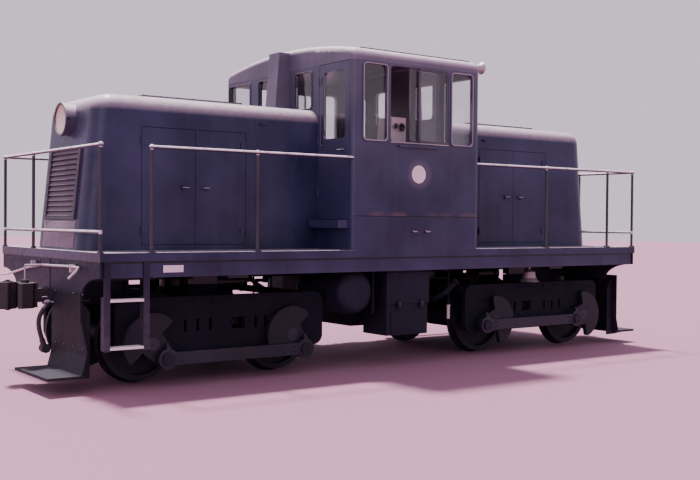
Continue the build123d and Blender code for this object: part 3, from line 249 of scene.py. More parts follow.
# paint, faded, dust (also the painted sheen on top), chip; then fade, top dust and sheen, streaks, low dust, chips and
# roughness; then the shader's own values
finishTable = {
    "bodyPaint": (navy, fadedNavy, paleDustAndSheen, rust,
                  0.85, 0.9, 0.75, 0.1, 0.12, 0.36, {"coat": 0.2, "specular": 0.25}),
    "lampPaint": ((0.026, 0.024, 0.052, 1), (0.085, 0.072, 0.115, 1), paleDustAndSheen, rust,
                  0.7, 1.0, 0.5, 0.0, 0.2, 0.4, {"coat": 0.2}),
    "roofPaint": ((0.075, 0.062, 0.105, 1), (0.16, 0.135, 0.195, 1), paleDustAndSheen, rust,
                  0.9, 1.0, 0.5, 0.0, 0.1, 0.4, {"coat": 0.2, "specular": 0.4}),
    "grillePaint": ((0.016, 0.013, 0.030, 1), (0.060, 0.048, 0.075, 1), (0.34, 0.26, 0.32, 1), rust,
                    0.9, 0.45, 0.6, 0.0, 0.3, 0.45, {"specular": 0.4}),
    "kickPaint": ((0.095, 0.068, 0.105, 1), (0.20, 0.145, 0.20, 1), paleDustAndSheen, rust,
                  0.9, 0.6, 0.6, 0.0, 0.3, 0.45, {}),
    "endPaint": ((0.006, 0.006, 0.022, 1), (0.020, 0.016, 0.042, 1), paleDustAndSheen, rust,
                 0.8, 0.6, 0.6, 0.1, 0.3, 0.5, {"specular": 0.25}),
    "boxPaint": ((0.006, 0.006, 0.016, 1), (0.013, 0.013, 0.032, 1), darkDust, rust,
                 0.8, 0.6, 0.5, 0.3, 0.2, 0.6, {"specular": 0.2}),
    "frameBlack": (black, grime, darkDust, rust,
                   0.8, 0.6, 0.4, 0.3, 0.1, 0.75, {"specular": 0.15}),
    "pilotPaint": ((0.004, 0.004, 0.010, 1), (0.009, 0.008, 0.019, 1), (0.06, 0.048, 0.07, 1), rust,
                   0.8, 0.9, 0.5, 0.3, 0.3, 0.6, {"specular": 0.2}),
    "leverPaint": ((0.55, 0.46, 0.52, 1), (0.36, 0.29, 0.34, 1), paleDustAndSheen, (0.06, 0.04, 0.05, 1),
                   0.7, 0.3, 0.2, 0.0, 0.5, 0.5, {}),
    "greasySteel": ((0.004, 0.004, 0.011, 1), (0.009, 0.010, 0.023, 1), darkDust, rust,
                    0.8, 0.4, 0.2, 0.45, 0.3, 0.5, {"metallic": 0.1, "specular": 0.3}),
    "rodSteel": ((0.009, 0.009, 0.020, 1), (0.026, 0.025, 0.046, 1), darkDust, rust,
                 0.9, 0.3, 0.1, 0.5, 0.3, 0.42, {"metallic": 0.2, "specular": 0.4}),
    "couplerCast": ((0.022, 0.018, 0.024, 1), (0.045, 0.035, 0.042, 1), darkDust, rust,
                    1.0, 0.4, 0.1, 0.2, 0.6, 0.62, {"metallic": 0.25, "bump": 0.5}),
    "railPaint": ((0.012, 0.010, 0.022, 1), (0.040, 0.032, 0.048, 1), paleDustAndSheen, rust,
                  0.8, 0.3, 0.2, 0.0, 0.3, 0.45, {}),
    "sashMetal": ((0.045, 0.038, 0.060, 1), (0.13, 0.11, 0.14, 1), paleDustAndSheen, (0.4, 0.34, 0.38, 1),
                  0.7, 0.9, 0.4, 0.0, 0.3, 0.4, {"metallic": 0.3}),
    "standEnamel": (cream, (0.70, 0.60, 0.66, 1), (0.3, 0.24, 0.25, 1), (0.12, 0.1, 0.1, 1),
                    0.5, 0.2, 0.2, 0.0, 0.2, 0.35, {}),
    "bellBrass": ((0.36, 0.28, 0.29, 1), (0.22, 0.17, 0.19, 1), darkDust, (0.08, 0.1, 0.07, 1),
                  0.7, 0.4, 0.5, 0.2, 0.3, 0.42, {"metallic": 0.6}),
    "hoseRubber": ((0.012, 0.011, 0.012, 1), (0.035, 0.03, 0.034, 1), darkDust, (0.05, 0.045, 0.045, 1),
                   0.9, 0.5, 0.2, 0.3, 0.5, 0.7, {"bump": 0.6}),
    "seatHide": ((0.03, 0.02, 0.02, 1), (0.07, 0.05, 0.045, 1), (0.2, 0.15, 0.15, 1), (0.14, 0.1, 0.08, 1),
                 0.7, 0.25, 0.0, 0.0, 0.3, 0.45, {"bump": 0.5}),
    "plateWhite": (white, (0.6, 0.5, 0.55, 1), paleDustAndSheen, (0.2, 0.14, 0.14, 1),
                   0.5, 0.2, 0.4, 0.0, 0.2, 0.5, {}),
    "beadMetal": ((0.30, 0.25, 0.29, 1), (0.52, 0.44, 0.49, 1), paleDustAndSheen, (0.1, 0.08, 0.09, 1),
                  0.7, 0.5, 0.4, 0.0, 0.3, 0.38, {"metallic": 0.4}),
    "gasketRubber": ((0.012, 0.011, 0.014, 1), (0.03, 0.027, 0.033, 1), paleDustAndSheen, (0.05, 0.04, 0.045, 1),
                     0.6, 0.5, 0.3, 0.0, 0.2, 0.65, {}),
}
finishes = {name: weatheredFinish(name, dict(zip(colourInputs + amountInputs, values)), **shaderValues)
            for name, (*values, shaderValues) in finishTable.items()}


def copyFinish(name, newName):
    made = finishes[newName] = finishes[name].copy()
    made.name = newName
    return made, made.node_tree


# rails: worn white along the top bar and, on the end rails, along the low one, only on faces that look up, so that the
# darker undersides are painted shade
railMarks = {"top": (deckTop + 1.036, 0.028), "low": (deckTop + 0.2, 0.019),      # level and half width
             "upFrom": -0.3, "lowBeyond": (3.88, 9)}      # 9 is further out than any rail
bandOver(finishes["railPaint"], *railMarks["top"], white, railMarks["upFrom"])
bandOver(finishes["railPaint"], *railMarks["low"], white, railMarks["upFrom"], railMarks["lowBeyond"])

# ladders: worn white on the treads
treadMarks = {"x": 3.655, "halfX": 0.174, "levels": (deckTop - 0.46, deckTop - 0.92), "half": 0.014}
ladderPaint, tree = copyFinish("endPaint", "ladderPaint")
onTread = maths(tree, "COMPARE", fromMiddle(tree, "X"), treadMarks["x"], treadMarks["halfX"])
for level in treadMarks["levels"]:
    overlay(ladderPaint, multiply(tree, onTread, levelMask(tree, level, treadMarks["half"])), white)

# cab: paint outside and enamel inside, told apart by place; lighter towards the roof, rusty above the seam
cabMarks = {"wall": 0.047, "sideFrom": sideFace - 0.02, "enamel": (0.13, 0.105, 0.135, 1),
            "roofTone": (0.098, 0.091, 0.138, 1), "roofToneZ": (deckTop + 0.6, deckTop + 2.1), "roofToneShare": (0.05, 0.85),
            "halo": (0.11, 0.088, 0.125, 1), "haloR": (0.19, 0.13), "haloShare": 0.55,
            "rust": (0.105, 0.058, 0.072, 1), "rustZ": (deckTop + 0.39, deckTop + 0.45), "rustShare": 0.75,
            "seamZ": deckTop + 0.384, "seamHalf": 0.005}
sign = {"x": 0.012, "z": deckTop + 0.877, "radius": 0.105, "bevel": 0.002, "thick": 0.003}
cabPaint, tree = copyFinish("bodyPaint", "cabPaint")
fromEnds, fromSides, standing = fromMiddle(tree, "X"), fromMiddle(tree, "Y"), placeAlong(tree, "Z")
inside = multiply(tree, maths(tree, "LESS_THAN", fromEnds, cabHalf - cabMarks["wall"]),
                  maths(tree, "LESS_THAN", fromSides, sideFace - cabMarks["wall"]))
overlay(cabPaint, inside, cabMarks["enamel"])
towardsRoof = multiply(tree, remap(tree, standing, *cabMarks["roofToneZ"], *cabMarks["roofToneShare"]),
                    maths(tree, "SUBTRACT", 1.0, inside), remap(tree, scaledNoise(tree, 2.2, 5), 0.3, 0.7, 0.6, 1))
overlay(cabPaint, towardsRoof, cabMarks["roofTone"])
onSide = maths(tree, "GREATER_THAN", fromSides, cabMarks["sideFrom"])
onWall = addNode(tree, "ShaderNodeCombineXYZ", {0: fromEnds, 2: standing}).outputs[0]
fromSign = addNode(tree, "ShaderNodeVectorMath", {0: onWall, 1: (sign["x"], 0, sign["z"])},
                   operation="DISTANCE").outputs["Value"]
halo = multiply(tree, remap(tree, fromSign, *cabMarks["haloR"]), onSide, cabMarks["haloShare"])
overlay(cabPaint, halo, cabMarks["halo"])
rustLine = multiply(tree, maths(tree, "GREATER_THAN", standing, cabMarks["seamZ"]),
                    remap(tree, standing, *cabMarks["rustZ"], 1, 0))
rustPatch = multiply(tree, remap(tree, scaledNoise(tree, 3.5, 4, (1, 1, 0.2)), 0.42, 0.6), onSide)
overlay(cabPaint, multiply(tree, rustLine, rustPatch, cabMarks["rustShare"]), cabMarks["rust"])
overlay(cabPaint, multiply(tree, levelMask(tree, cabMarks["seamZ"], cabMarks["seamHalf"]), onSide), black)

# deck: lozenge relief on the walkway, a painted highlight along its rim on faces that look up, and a black line under
# it that is painted shade
deckMarks = {"pitch": 0.045, "relief": 0.003, "edge": (deckTop, 0.014), "highlightColour": (0.78, 0.65, 0.73, 1),
             "upFrom": 0.1, "beyond": (3.87, 1.37), "line": (deckTop - 0.088, 0.006)}
deckPaint, tree = copyFinish("bodyPaint", "deckPaint")
deckNormal = tree.nodes["Principled BSDF"].inputs["Normal"]
lozengeHeight = multiply(tree, placeGroup(tree, lozenges, {"Pitch": deckMarks["pitch"]})["Height"],
                         remap(tree, facingUp(tree), 0.5, 0.9))
deckRelief = addNode(tree, "ShaderNodeBump", {
    "Height": lozengeHeight, "Strength": 0.6, "Distance": deckMarks["relief"],
    "Normal": deckNormal.links[0].from_socket})
tree.links.new(deckRelief.outputs[0], deckNormal)
bandOver(deckPaint, *deckMarks["edge"], deckMarks["highlightColour"], deckMarks["upFrom"], deckMarks["beyond"])
bandOver(deckPaint, *deckMarks["line"], black)

# underframe: body paint on the sills, black inside, and a painted shade line under the deck's edge
underMarks = {"sill": 0.022, "joint": (deckTop - 0.098, 0.008)}
underframePaint, tree = copyFinish("bodyPaint", "underframePaint")
overlay(underframePaint, maths(tree, "LESS_THAN", fromMiddle(tree, "Y"), sideFace - underMarks["sill"]), black)
bandOver(underframePaint, *underMarks["joint"], black)


def clearGlass(name, tint, roughness, dirt, clear=1.0):
    made, tree, shader = newMaterial(name)
    film = remap(tree, scaledNoise(tree, 5, 6), 0.45, 0.75, 0, dirt)
    smeared = remap(tree, scaledNoise(tree, 9, 5), 0.3, 0.8, roughness, roughness + dirt * 0.5)
    fillInputs(tree, shader, {"Transmission Weight": clear, "IOR": 1.45, "Roughness": smeared,
                              "Base Color": mixColour(tree, film, tint, (0.55, 0.45, 0.5, 1))})
    finishes[name] = made
    return made, tree


# window glass, the lenses with a warm painted shade towards their top, and the reflectors behind them
lensTopShade = {"z": (deckTop + 1.29, deckTop + 1.50), "share": (0, 0.85), "colour": (0.62, 0.34, 0.24, 1)}
clearGlass("windowGlass", (0.93, 0.92, 0.94, 1), 0.01, 0.12)
lampGlass, tree = clearGlass("lampGlass", (1.0, 0.90, 0.80, 1), 0.12, 0.2, 0.2)
overlay(lampGlass, remap(tree, placeAlong(tree, "Z"), *lensTopShade["z"], *lensTopShade["share"]), lensTopShade["colour"])
finishes["reflectorMetal"], tree, shader = newMaterial("reflectorMetal")
tarnish = remap(tree, scaledNoise(tree, 7, 5), 0.4, 0.7)
fillInputs(tree, shader, {"Metallic": 1.0, "Roughness": remap(tree, scaledNoise(tree, 30, 4), 0.3, 0.7, 0.25, 0.45),
                          "Base Color": mixColour(tree, tarnish, (0.98, 0.92, 0.82, 1), (0.9, 0.76, 0.58, 1))})

# each finish with the words that mark its nodes; where more than one fits, the longest word counts
nodeWords = {
    "bodyPaint": ["hood_", "hatches"],
    "roofPaint": ["cab_roof", "stacks"],
    "grillePaint": ["grilles"],
    "boxPaint": ["equipment_boxes", "air_reservoirs"],
    "endPaint": ["end_sheets"],
    "lampPaint": ["headlights"],
    "beadMetal": ["horn"],
    "cabPaint": ["cab_walls", "cab_door_"],
    "deckPaint": ["deck"],
    "ladderPaint": ["ladders"],
    "frameBlack": ["truck_frame", "traction_motor", "fuel_tank", "engines", "cab_floor"],
    "pilotPaint": ["pilots"],
    "leverPaint": ["uncoupling"],
    "underframePaint": ["underframe"],
    "greasySteel": ["wheelset"],
    "rodSteel": ["side_rod"],
    "couplerCast": ["coupler_", "glad_hand"],
    "railPaint": ["handrails"],
    "sashMetal": ["window_sashes"],
    "standEnamel": ["control_stand"],
    "bellBrass": ["bell"],
    "hoseRubber": ["air_hose"],
    "windowGlass": ["cab_glass", "cab_door_glass"],
    "lampGlass": ["lenses"],
    "seatHide": ["seats"],
}
for nodeName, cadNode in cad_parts.items():
    fitting = [(len(word), name) for name, words in nodeWords.items() for word in words if word in nodeName]
    cadNode.data.materials.clear()
    cadNode.data.materials.append(finishes[max(fitting, key=lambda fit: fit[0])[1]])
print("finishes placed")


def meshObject(name, bm, material):
    bmesh.ops.recalc_face_normals(bm, faces=bm.faces)
    mesh = bpy.data.meshes.new(name)
    bm.to_mesh(mesh)
    bm.free()
    mesh.materials.append(material)
    mesh.shade_smooth()
    return linkObject(name, mesh)


def piece(name, bm, body, material):
    bmesh.ops.remove_doubles(bm, verts=bm.verts, dist=0.00001)
    made = meshObject(name, bm, material)
    made.data.set_sharp_from_angle(angle=radians(35))
    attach(made, body)
    return made


def facingTurn(outward):
    return Vector(outward).to_track_quat("Z", "Y").to_matrix().to_4x4()


def addCone(bm, foot, outward, wide, narrow, depth, segments=12):
    middle = Vector(foot) + Vector(outward).normalized() * depth / 2
    bmesh.ops.create_cone(bm, cap_ends=True, segments=segments, radius1=wide, radius2=narrow, depth=depth,
                          matrix=Matrix.Translation(middle) @ facingTurn(outward))


def addBolts(bm, places, radius, depth):
    # hexagon heads, each sunk a fifth of its depth into its face
    for face, outward in places:
        sunk = Vector(face) - Vector(outward).normalized() * depth * 0.2
        addCone(bm, sunk, outward, radius, radius * 0.86, depth * 1.2, 6)


def addBlock(bm, middle, size, rounding, turn=Matrix.Identity(4)):
    made = bmesh.ops.create_cube(bm, size=1, matrix=Matrix.Translation(middle) @ turn @ Matrix.Diagonal((*size, 1)))
    edges = list(dict.fromkeys(edge for vert in made["verts"] for edge in vert.link_edges))
    bmesh.ops.bevel(bm, geom=edges, offset=rounding, offset_type="OFFSET", segments=2, profile=0.5, affect="EDGES",
                    material=-1)


def addBox(bm, corners, rounding):
    low, high = [Vector([pick(pair) for pair in zip(*corners)]) for pick in (min, max)]
    addBlock(bm, (low + high) / 2, high - low, rounding)


def addBall(bm, middle, radius, segments=12, rings=8):
    bmesh.ops.create_uvsphere(bm, u_segments=segments, v_segments=rings, radius=radius,
                              matrix=Matrix.Translation(middle))


def addTube(bm, points, radius, segments=10):
    # round bar through points, each run a cone operator and each corner a ball
    for start, stop in zip(points, points[1:]):
        run = Vector(stop) - Vector(start)
        addCone(bm, start, run, radius, radius, run.length, segments)
    for corner in points[1:-1]:
        addBall(bm, corner, radius * 1.01, segments, 6)


def mirrored(points, alongX, alongY):
    return [(alongX * x, alongY * y, z) for x, y, z in points]


def noseX(height):
    # how far out a hood's raked nose stands at a height above the deck
    return noseFoot - height * noseSlope


# bolts of the rail posts' base plates
postBolts = {"radius": 0.008, "depth": 0.009, "spread": 0.022, "plateTop": deckTop + 0.012, "postX": (2.182, 3.387),
             "railY": 1.408, "endX": 3.908, "endY": 0.45, "fromEdge": 0.01}
bm = bmesh.new()
for _, along in ends:
    posts = [(along * x, side * postBolts["railY"]) for x in postBolts["postX"] for _, side in sides]
    posts.append((along * postBolts["endX"], -along * postBolts["endY"]))
    for x, y in posts:
        reachX = min(postBolts["spread"], deckHalf - abs(x) - postBolts["fromEdge"])
        addBolts(bm, [((x + u * reachX, y + v * postBolts["spread"], postBolts["plateTop"]), (0, 0, 1))
                      for u in (-1, 1) for v in (-1, 1)], postBolts["radius"], postBolts["depth"])
piece("railPostBolts", bm, "root", finishes["railPaint"])

# bolts of the end sheets and pilot plates; the plate on the near side hides all but one of the low row there
endBolts = {"radius": 0.010, "depth": 0.006, "sheet": deckHalf - 0.006, "firstY": 0.2, "pitch": 0.16,
            "rows": ((deckTop - 0.125, 5, 5), (deckTop - 0.435, 1, 5)),     # height, and how many near and far
            "plate": deckHalf + 0.010, "plateY": (-0.31, -0.55, -0.8, -1.05),
            "plateZ": (deckTop - 0.42, deckTop - 0.95)}
bm = bmesh.new()
for _, along in ends:
    spots = [(along * endBolts["sheet"], side * (endBolts["firstY"] + endBolts["pitch"] * step), z)
             for z, *counts in endBolts["rows"] for (_, side), count in zip(sides, counts) for step in range(count)]
    spots += [(along * endBolts["plate"], y, z) for y in endBolts["plateY"] for z in endBolts["plateZ"]]
    addBolts(bm, [(spot, (along, 0, 0)) for spot in spots], endBolts["radius"], endBolts["depth"])
piece("endSheetBolts", bm, "root", finishes["endPaint"])

# blank number plates on the side sills and the bare round sign on each side of the cab
plates = {"corners": ((3.05, sideFace - 0.018, deckTop - 0.198), (3.27, sideFace - 0.015, deckTop - 0.128)),
          "rounding": 0.001}
bm = bmesh.new()
for _, side in sides:
    addBox(bm, mirrored(plates["corners"], side, side), plates["rounding"])
    addCone(bm, (side * sign["x"], side * sideFace, sign["z"]), (0, side, 0), sign["radius"],
            sign["radius"] - sign["bevel"], sign["thick"], 48)
piece("blankPlates", bm, "root", finishes["plateWhite"])
print("signs and bolts made")

# headlight bowls and bulbs behind the lenses
headlight = {"z": deckTop + 1.382, "face": noseX(1.382) + 0.115, "rim": 0.156, "rimBack": 0.027, "deep": 0.038,
             "bulbBack": 0.044, "bulbR": 0.015, "capBack": 0.060, "cap": (0.012, 0.011, 0.012)}
for end, along in ends:
    bm = bmesh.new()
    bmesh.ops.create_uvsphere(bm, u_segments=40, v_segments=20, radius=headlight["rim"])
    bmesh.ops.bisect_plane(bm, geom=bm.verts[:] + bm.edges[:] + bm.faces[:], plane_co=(0, 0, 0), plane_no=(0, 0, 1),
                           clear_outer=True)
    bmesh.ops.scale(bm, verts=bm.verts, vec=(1, 1, headlight["deep"] / headlight["rim"]))
    bmesh.ops.rotate(bm, verts=bm.verts, cent=(0, 0, 0), matrix=facingTurn((along, 0, 0)).to_3x3())
    rimX = along * (headlight["face"] - headlight["rimBack"])
    bmesh.ops.translate(bm, verts=bm.verts, vec=(rimX, 0, headlight["z"]))
    bowl = piece(f"headlightBowl_{end}", bm, "root", finishes["reflectorMetal"])
    for polygon in bowl.data.polygons:
        polygon.flip()
bm = bmesh.new()
for _, along in ends:
    bulbX, capX = (along * (headlight["face"] - headlight[back]) for back in ("bulbBack", "capBack"))
    addBall(bm, (bulbX, 0, headlight["z"]), headlight["bulbR"], 16, 10)
    addCone(bm, (capX, 0, headlight["z"]), (along, 0, 0), *headlight["cap"])
piece("headlightBulbs", bm, "root", finishes["plateWhite"])

# brake hoses: a cord each, on the same route as their solids
hose = {"diameter": 0.048, "y": -0.215, "curveShare": 0.985,     # length of the smooth curve, of its runs added up
        "run": ((0.100, -0.612), (0.136, -0.664), (0.154, -0.728), (0.152, -0.796), (0.138, -0.862), (0.118, -0.926))}
for end, along in ends:
    route = [Vector((along * (deckHalf + out), hose["y"], deckTop + drop)) for out, drop in hose["run"]]
    curve = bpy.data.curves.new(f"brakeHose_{end}", "CURVE")
    curve.dimensions = "3D"
    spline = curve.splines.new("NURBS")
    spline.points.add(len(route) - 1)
    for point, place in zip(spline.points, route):
        point.co = (*place, 1)
    spline.order_u = 3
    spline.use_endpoint_u = True
    spline.resolution_u = 12
    curve.bevel_depth = hose["diameter"] / 2
    curve.bevel_resolution = 5
    curve.use_fill_caps = True
    curve.materials.append(finishes["hoseRubber"])
    made = linkObject(f"brakeHose_{end}", curve)
    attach(made, "root")
    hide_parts(f"air_hose_{end}")


def roundedLoop(middle, across, half, corner):
    # closed run of points round a window opening, in the wall's plane
    run = []
    for quarter, (u, v) in enumerate(((1, 1), (-1, 1), (-1, -1), (1, -1))):
        for step in range(5):
            angle = pi / 2 * (quarter + step / 4)
            run.append(middle + across * (u * (half[0] - corner) + corner * cos(angle))
                       + Vector((0, 0, v * (half[1] - corner) + corner * sin(angle))))
    return run + run[:1]


# thin worn beads round the cab's fixed side windows, and a sill bead under the sliding ones
windowBeads = {"radius": 0.005, "corner": 0.045, "y": sideFace + 0.006, "x": 0.66, "z": deckTop + 1.6765,
               "half": (0.170, 0.4335), "sillR": 0.007,
               "sill": ((-0.44, sideFace + 0.003, deckTop + 1.235), (0.44, sideFace + 0.003, deckTop + 1.235))}
bm = bmesh.new()
for _, side in sides:
    for _, along in ends:
        middle = Vector((along * windowBeads["x"], side * windowBeads["y"], windowBeads["z"]))
        addTube(bm, roundedLoop(middle, Vector((1, 0, 0)), windowBeads["half"], windowBeads["corner"]),
                windowBeads["radius"], 8)
    addTube(bm, mirrored(windowBeads["sill"], 1, side), windowBeads["sillR"], 8)
piece("windowBeads", bm, "root", finishes["beadMetal"])

# gaskets round the end windows
endWindows = {"head": 2.09, "out": 0.005, "radius": 0.006, "corner": 0.045,
              "panes": ((-1.085, 0.53, 1.26), (-0.425, 0.35, 1.65), (0.425, 0.35, 1.65))}     # middle, width, foot
bm = bmesh.new()
for _, along in ends:
    for paneY, width, foot in endWindows["panes"]:
        middleZ = deckTop + (foot + endWindows["head"]) / 2
        middle = Vector((along * (cabHalf + endWindows["out"]), along * paneY, middleZ))
        half = (width / 2, (endWindows["head"] - foot) / 2)
        addTube(bm, roundedLoop(middle, Vector((0, 1, 0)), half, endWindows["corner"]), endWindows["radius"], 8)
piece("endWindowGaskets", bm, "root", finishes["gasketRubber"])

# rain strips along the roof's edges
rainStrip = {"y": (1.322, 1.338), "x": (0.80, -0.87), "sunk": 0.006, "height": 0.012, "roofR": 7.6,
             "crown": deckTop + 2.405, "rounding": 0.003}
middleY = sum(rainStrip["y"]) / 2
roofZ = rainStrip["crown"] - rainStrip["roofR"] + (rainStrip["roofR"] ** 2 - middleY ** 2) ** 0.5
bm = bmesh.new()
for _, side in sides:
    corners = zip(rainStrip["x"], rainStrip["y"], (roofZ - rainStrip["sunk"], roofZ + rainStrip["height"]))
    addBox(bm, mirrored(corners, side, side), rainStrip["rounding"])
piece("rainStrips", bm, "root", finishes["gasketRubber"])

# screws of the hatches
hatchBolts = {"x": 2.385, "half": (0.605, 0.35), "z": deckTop + 1.671, "spans": 6, "endY": (-0.17, 0, 0.17),
              "radius": 0.009, "depth": 0.007}
halfX, halfY = hatchBolts["half"]
bm = bmesh.new()
for _, along in ends:
    spots = [(step * halfX / hatchBolts["spans"] * 2 - halfX, side * halfY)
             for step in range(hatchBolts["spans"] + 1) for _, side in sides]
    spots += [(side * halfX, y) for _, side in sides for y in hatchBolts["endY"]]
    addBolts(bm, [((along * hatchBolts["x"] + x, y, hatchBolts["z"]), (0, 0, 1)) for x, y in spots],
             hatchBolts["radius"], hatchBolts["depth"])
piece("hatchBolts", bm, "root", finishes["bodyPaint"])

# screws of the grilles, and the latch on each side of the headlight drums
grilleBolts = {"face": 0.023, "y": 0.414, "low": 0.36, "high": 1.06, "rows": 5, "radius": 0.008, "depth": 0.006}
drumX = headlight["face"] - 0.014
drumLatch = {"knobY": 0.176, "knobZ": headlight["z"] + 0.01, "knob": (0.014, 0.011, 0.016), "rounding": 0.003,
             "plate": ((drumX - 0.03, 0.170, headlight["z"] - 0.012), (drumX + 0.01, 0.186, headlight["z"] + 0.012))}
bm = bmesh.new()
for _, along in ends:
    outward = Vector((along * cos(noseRake), 0, sin(noseRake)))
    places = []
    for row in range(grilleBolts["rows"]):
        height = grilleBolts["low"] + (grilleBolts["high"] - grilleBolts["low"]) * row / (grilleBolts["rows"] - 1)
        places += [(Vector((along * noseX(height), side * grilleBolts["y"], deckTop + height))
                    + outward * grilleBolts["face"], outward) for _, side in sides]
    addBolts(bm, places, grilleBolts["radius"], grilleBolts["depth"])
    for _, side in sides:
        addCone(bm, (along * drumX, side * drumLatch["knobY"], drumLatch["knobZ"]), (0, side, 0), *drumLatch["knob"])
        addBox(bm, mirrored(drumLatch["plate"], along, side), drumLatch["rounding"])
piece("grilleBolts", bm, "root", finishes["bodyPaint"])

# faded kick plate under each grille
kickPlate = {"low": 0.022, "high": 0.304, "halfW": 0.455, "thick": 0.004, "rounding": 0.0015, "boltIn": 0.03,
             "boltY": (-0.42, -0.14, 0.14, 0.42), "boltR": 0.008, "boltDepth": 0.005}
middle = (kickPlate["low"] + kickPlate["high"]) / 2
size = (kickPlate["thick"], 2 * kickPlate["halfW"], (kickPlate["high"] - kickPlate["low"]) / cos(noseRake))
bm = bmesh.new()
for _, along in ends:
    outward = Vector((along * cos(noseRake), 0, sin(noseRake)))
    addBlock(bm, Vector((along * noseX(middle), 0, deckTop + middle)) + outward * kickPlate["thick"] / 2, size,
             kickPlate["rounding"], Matrix.Rotation(-along * noseRake, 4, "Y"))
    for height in (kickPlate["low"] + kickPlate["boltIn"], kickPlate["high"] - kickPlate["boltIn"]):
        addBolts(bm, [(Vector((along * noseX(height), y, deckTop + height)) + outward * kickPlate["thick"], outward)
                      for y in kickPlate["boltY"]], kickPlate["boltR"], kickPlate["boltDepth"])
piece("kickPlates", bm, "root", finishes["kickPaint"])

# worn handle grips and hinge screws on the hood doors
grips = {"z": deckTop + 0.665, "y": hoodFace + 0.030, "fromSeam": 0.124, "half": 0.034, "radius": 0.0085,
         "seams": (("front", "near", -2.560), ("rear", "near", 2.250),
                   ("front", "far", -2.250), ("rear", "far", 2.560))}
hingeScrews = {"fromSeam": (0.610, 0.580), "y": hoodFace + 0.009, "z": (deckTop + 0.2076, deckTop + 1.1424),
               "shape": (0.006, 0.005, 0.004, 8)}
for end, sideName, seam in grips["seams"]:
    side = dict(sides)[sideName]
    for leaf, toward in (("a", -1), ("b", 1)):
        bm = bmesh.new()
        tips = [(seam + toward * grips["fromSeam"] + tip * grips["half"], side * grips["y"], grips["z"])
                for tip in (-1, 1)]
        addTube(bm, tips, grips["radius"], 12)
        for tip in tips:
            addBall(bm, tip, grips["radius"])
        for z in hingeScrews["z"]:
            for reach in hingeScrews["fromSeam"]:
                addCone(bm, (seam + toward * reach, side * hingeScrews["y"], z), (0, side, 0), *hingeScrews["shape"])
        piece(f"doorGrip_{end}_{sideName}_{leaf}", bm, f"hood_door_{end}_{sideName}_{leaf}", finishes["sashMetal"])

# grips of the boxes on the cab's sides
boxGrips = {"x": (-0.091, 0.108), "y": sideFace + 0.017, "z": deckTop + 0.208, "radius": 0.008, "length": 0.050,
            "ballR": 0.012}
bm = bmesh.new()
for _, side in sides:
    for x in boxGrips["x"]:
        start = (x, side * boxGrips["y"], boxGrips["z"])
        addTube(bm, [start, (x + boxGrips["length"], *start[1:])], boxGrips["radius"], 12)
        addBall(bm, start, boxGrips["ballR"])
piece("cabBoxGrips", bm, "root", finishes["beadMetal"])
print("window beads, strips and grips made")

# dials on the control stand: place along the stand, height, radius and the turn of the hand
dials = {"faces": ((-0.092, 1.462, 0.038, 50), (-0.004, 1.450, 0.055, -35)), "y": -1.112, "thick": 0.002,
         "face": 0.86, "rim": 0.9, "rimThick": 0.1, "tick": (0.66, 0.8), "hand": 0.62,      # shares of the radius
         "ticks": 9, "ticksFrom": -45, "ticksOver": 270, "tickR": 0.0009, "handR": 0.0016}
bm, rims, hands = bmesh.new(), bmesh.new(), bmesh.new()
for x, height, radius, turn in dials["faces"]:
    z = deckTop + height
    faceR, rimR = radius * dials["face"], radius * dials["rim"]
    addCone(bm, (x, dials["y"] + 0.001, z), (0, -1, 0), faceR, faceR, dials["thick"], 32)
    angles = [2 * pi * step / 24 for step in range(24)]
    ring = [(x + rimR * cos(angle), dials["y"] - 0.001, z + rimR * sin(angle)) for angle in angles]
    addTube(rims, ring + ring[:1], radius * dials["rimThick"], 8)
    tickMiddle, handMiddle = Vector((x, dials["y"] - 0.001, z)), Vector((x, dials["y"] - 0.002, z))
    for tick in range(dials["ticks"]):
        angle = radians(dials["ticksFrom"] + dials["ticksOver"] * tick / (dials["ticks"] - 1))
        outer = Vector((cos(angle), 0, sin(angle)))
        addTube(hands, [tickMiddle + outer * radius * share for share in dials["tick"]], dials["tickR"], 6)
    aim = Vector((cos(radians(turn)), 0, sin(radians(turn))))
    addTube(hands, [handMiddle, handMiddle + aim * radius * dials["hand"]], dials["handR"], 6)
piece("dialFaces", bm, "root", finishes["gasketRubber"])
piece("dialRims", rims, "root", finishes["beadMetal"])
piece("dialHands", hands, "root", finishes["plateWhite"])

# seat cushions: crowned closed pads with two sewn channels and rounded corners, in place of the plain solids
seating = {"seats": (("front", -0.520, -1.050, -1), ("rear", 0.520, 1.050, 1)),     # place, and where the back is
           "panHalf": (0.208, 0.208), "pan": (2.225, 2.301), "back": (0.152, 0.208), "backHalf": (0.198, 0.258),
           "backMid": 2.543, "pull": 0.016, "pullFrom": 0.98, "cornerPull": 0.07, "cornerFrom": 0.8, "crown": 0.42,
           "foot": 0.25, "channel": 0.06, "channelAt": 0.34, "channelHalf": 0.07, "smoothing": 0.4, "fill": 0.7}


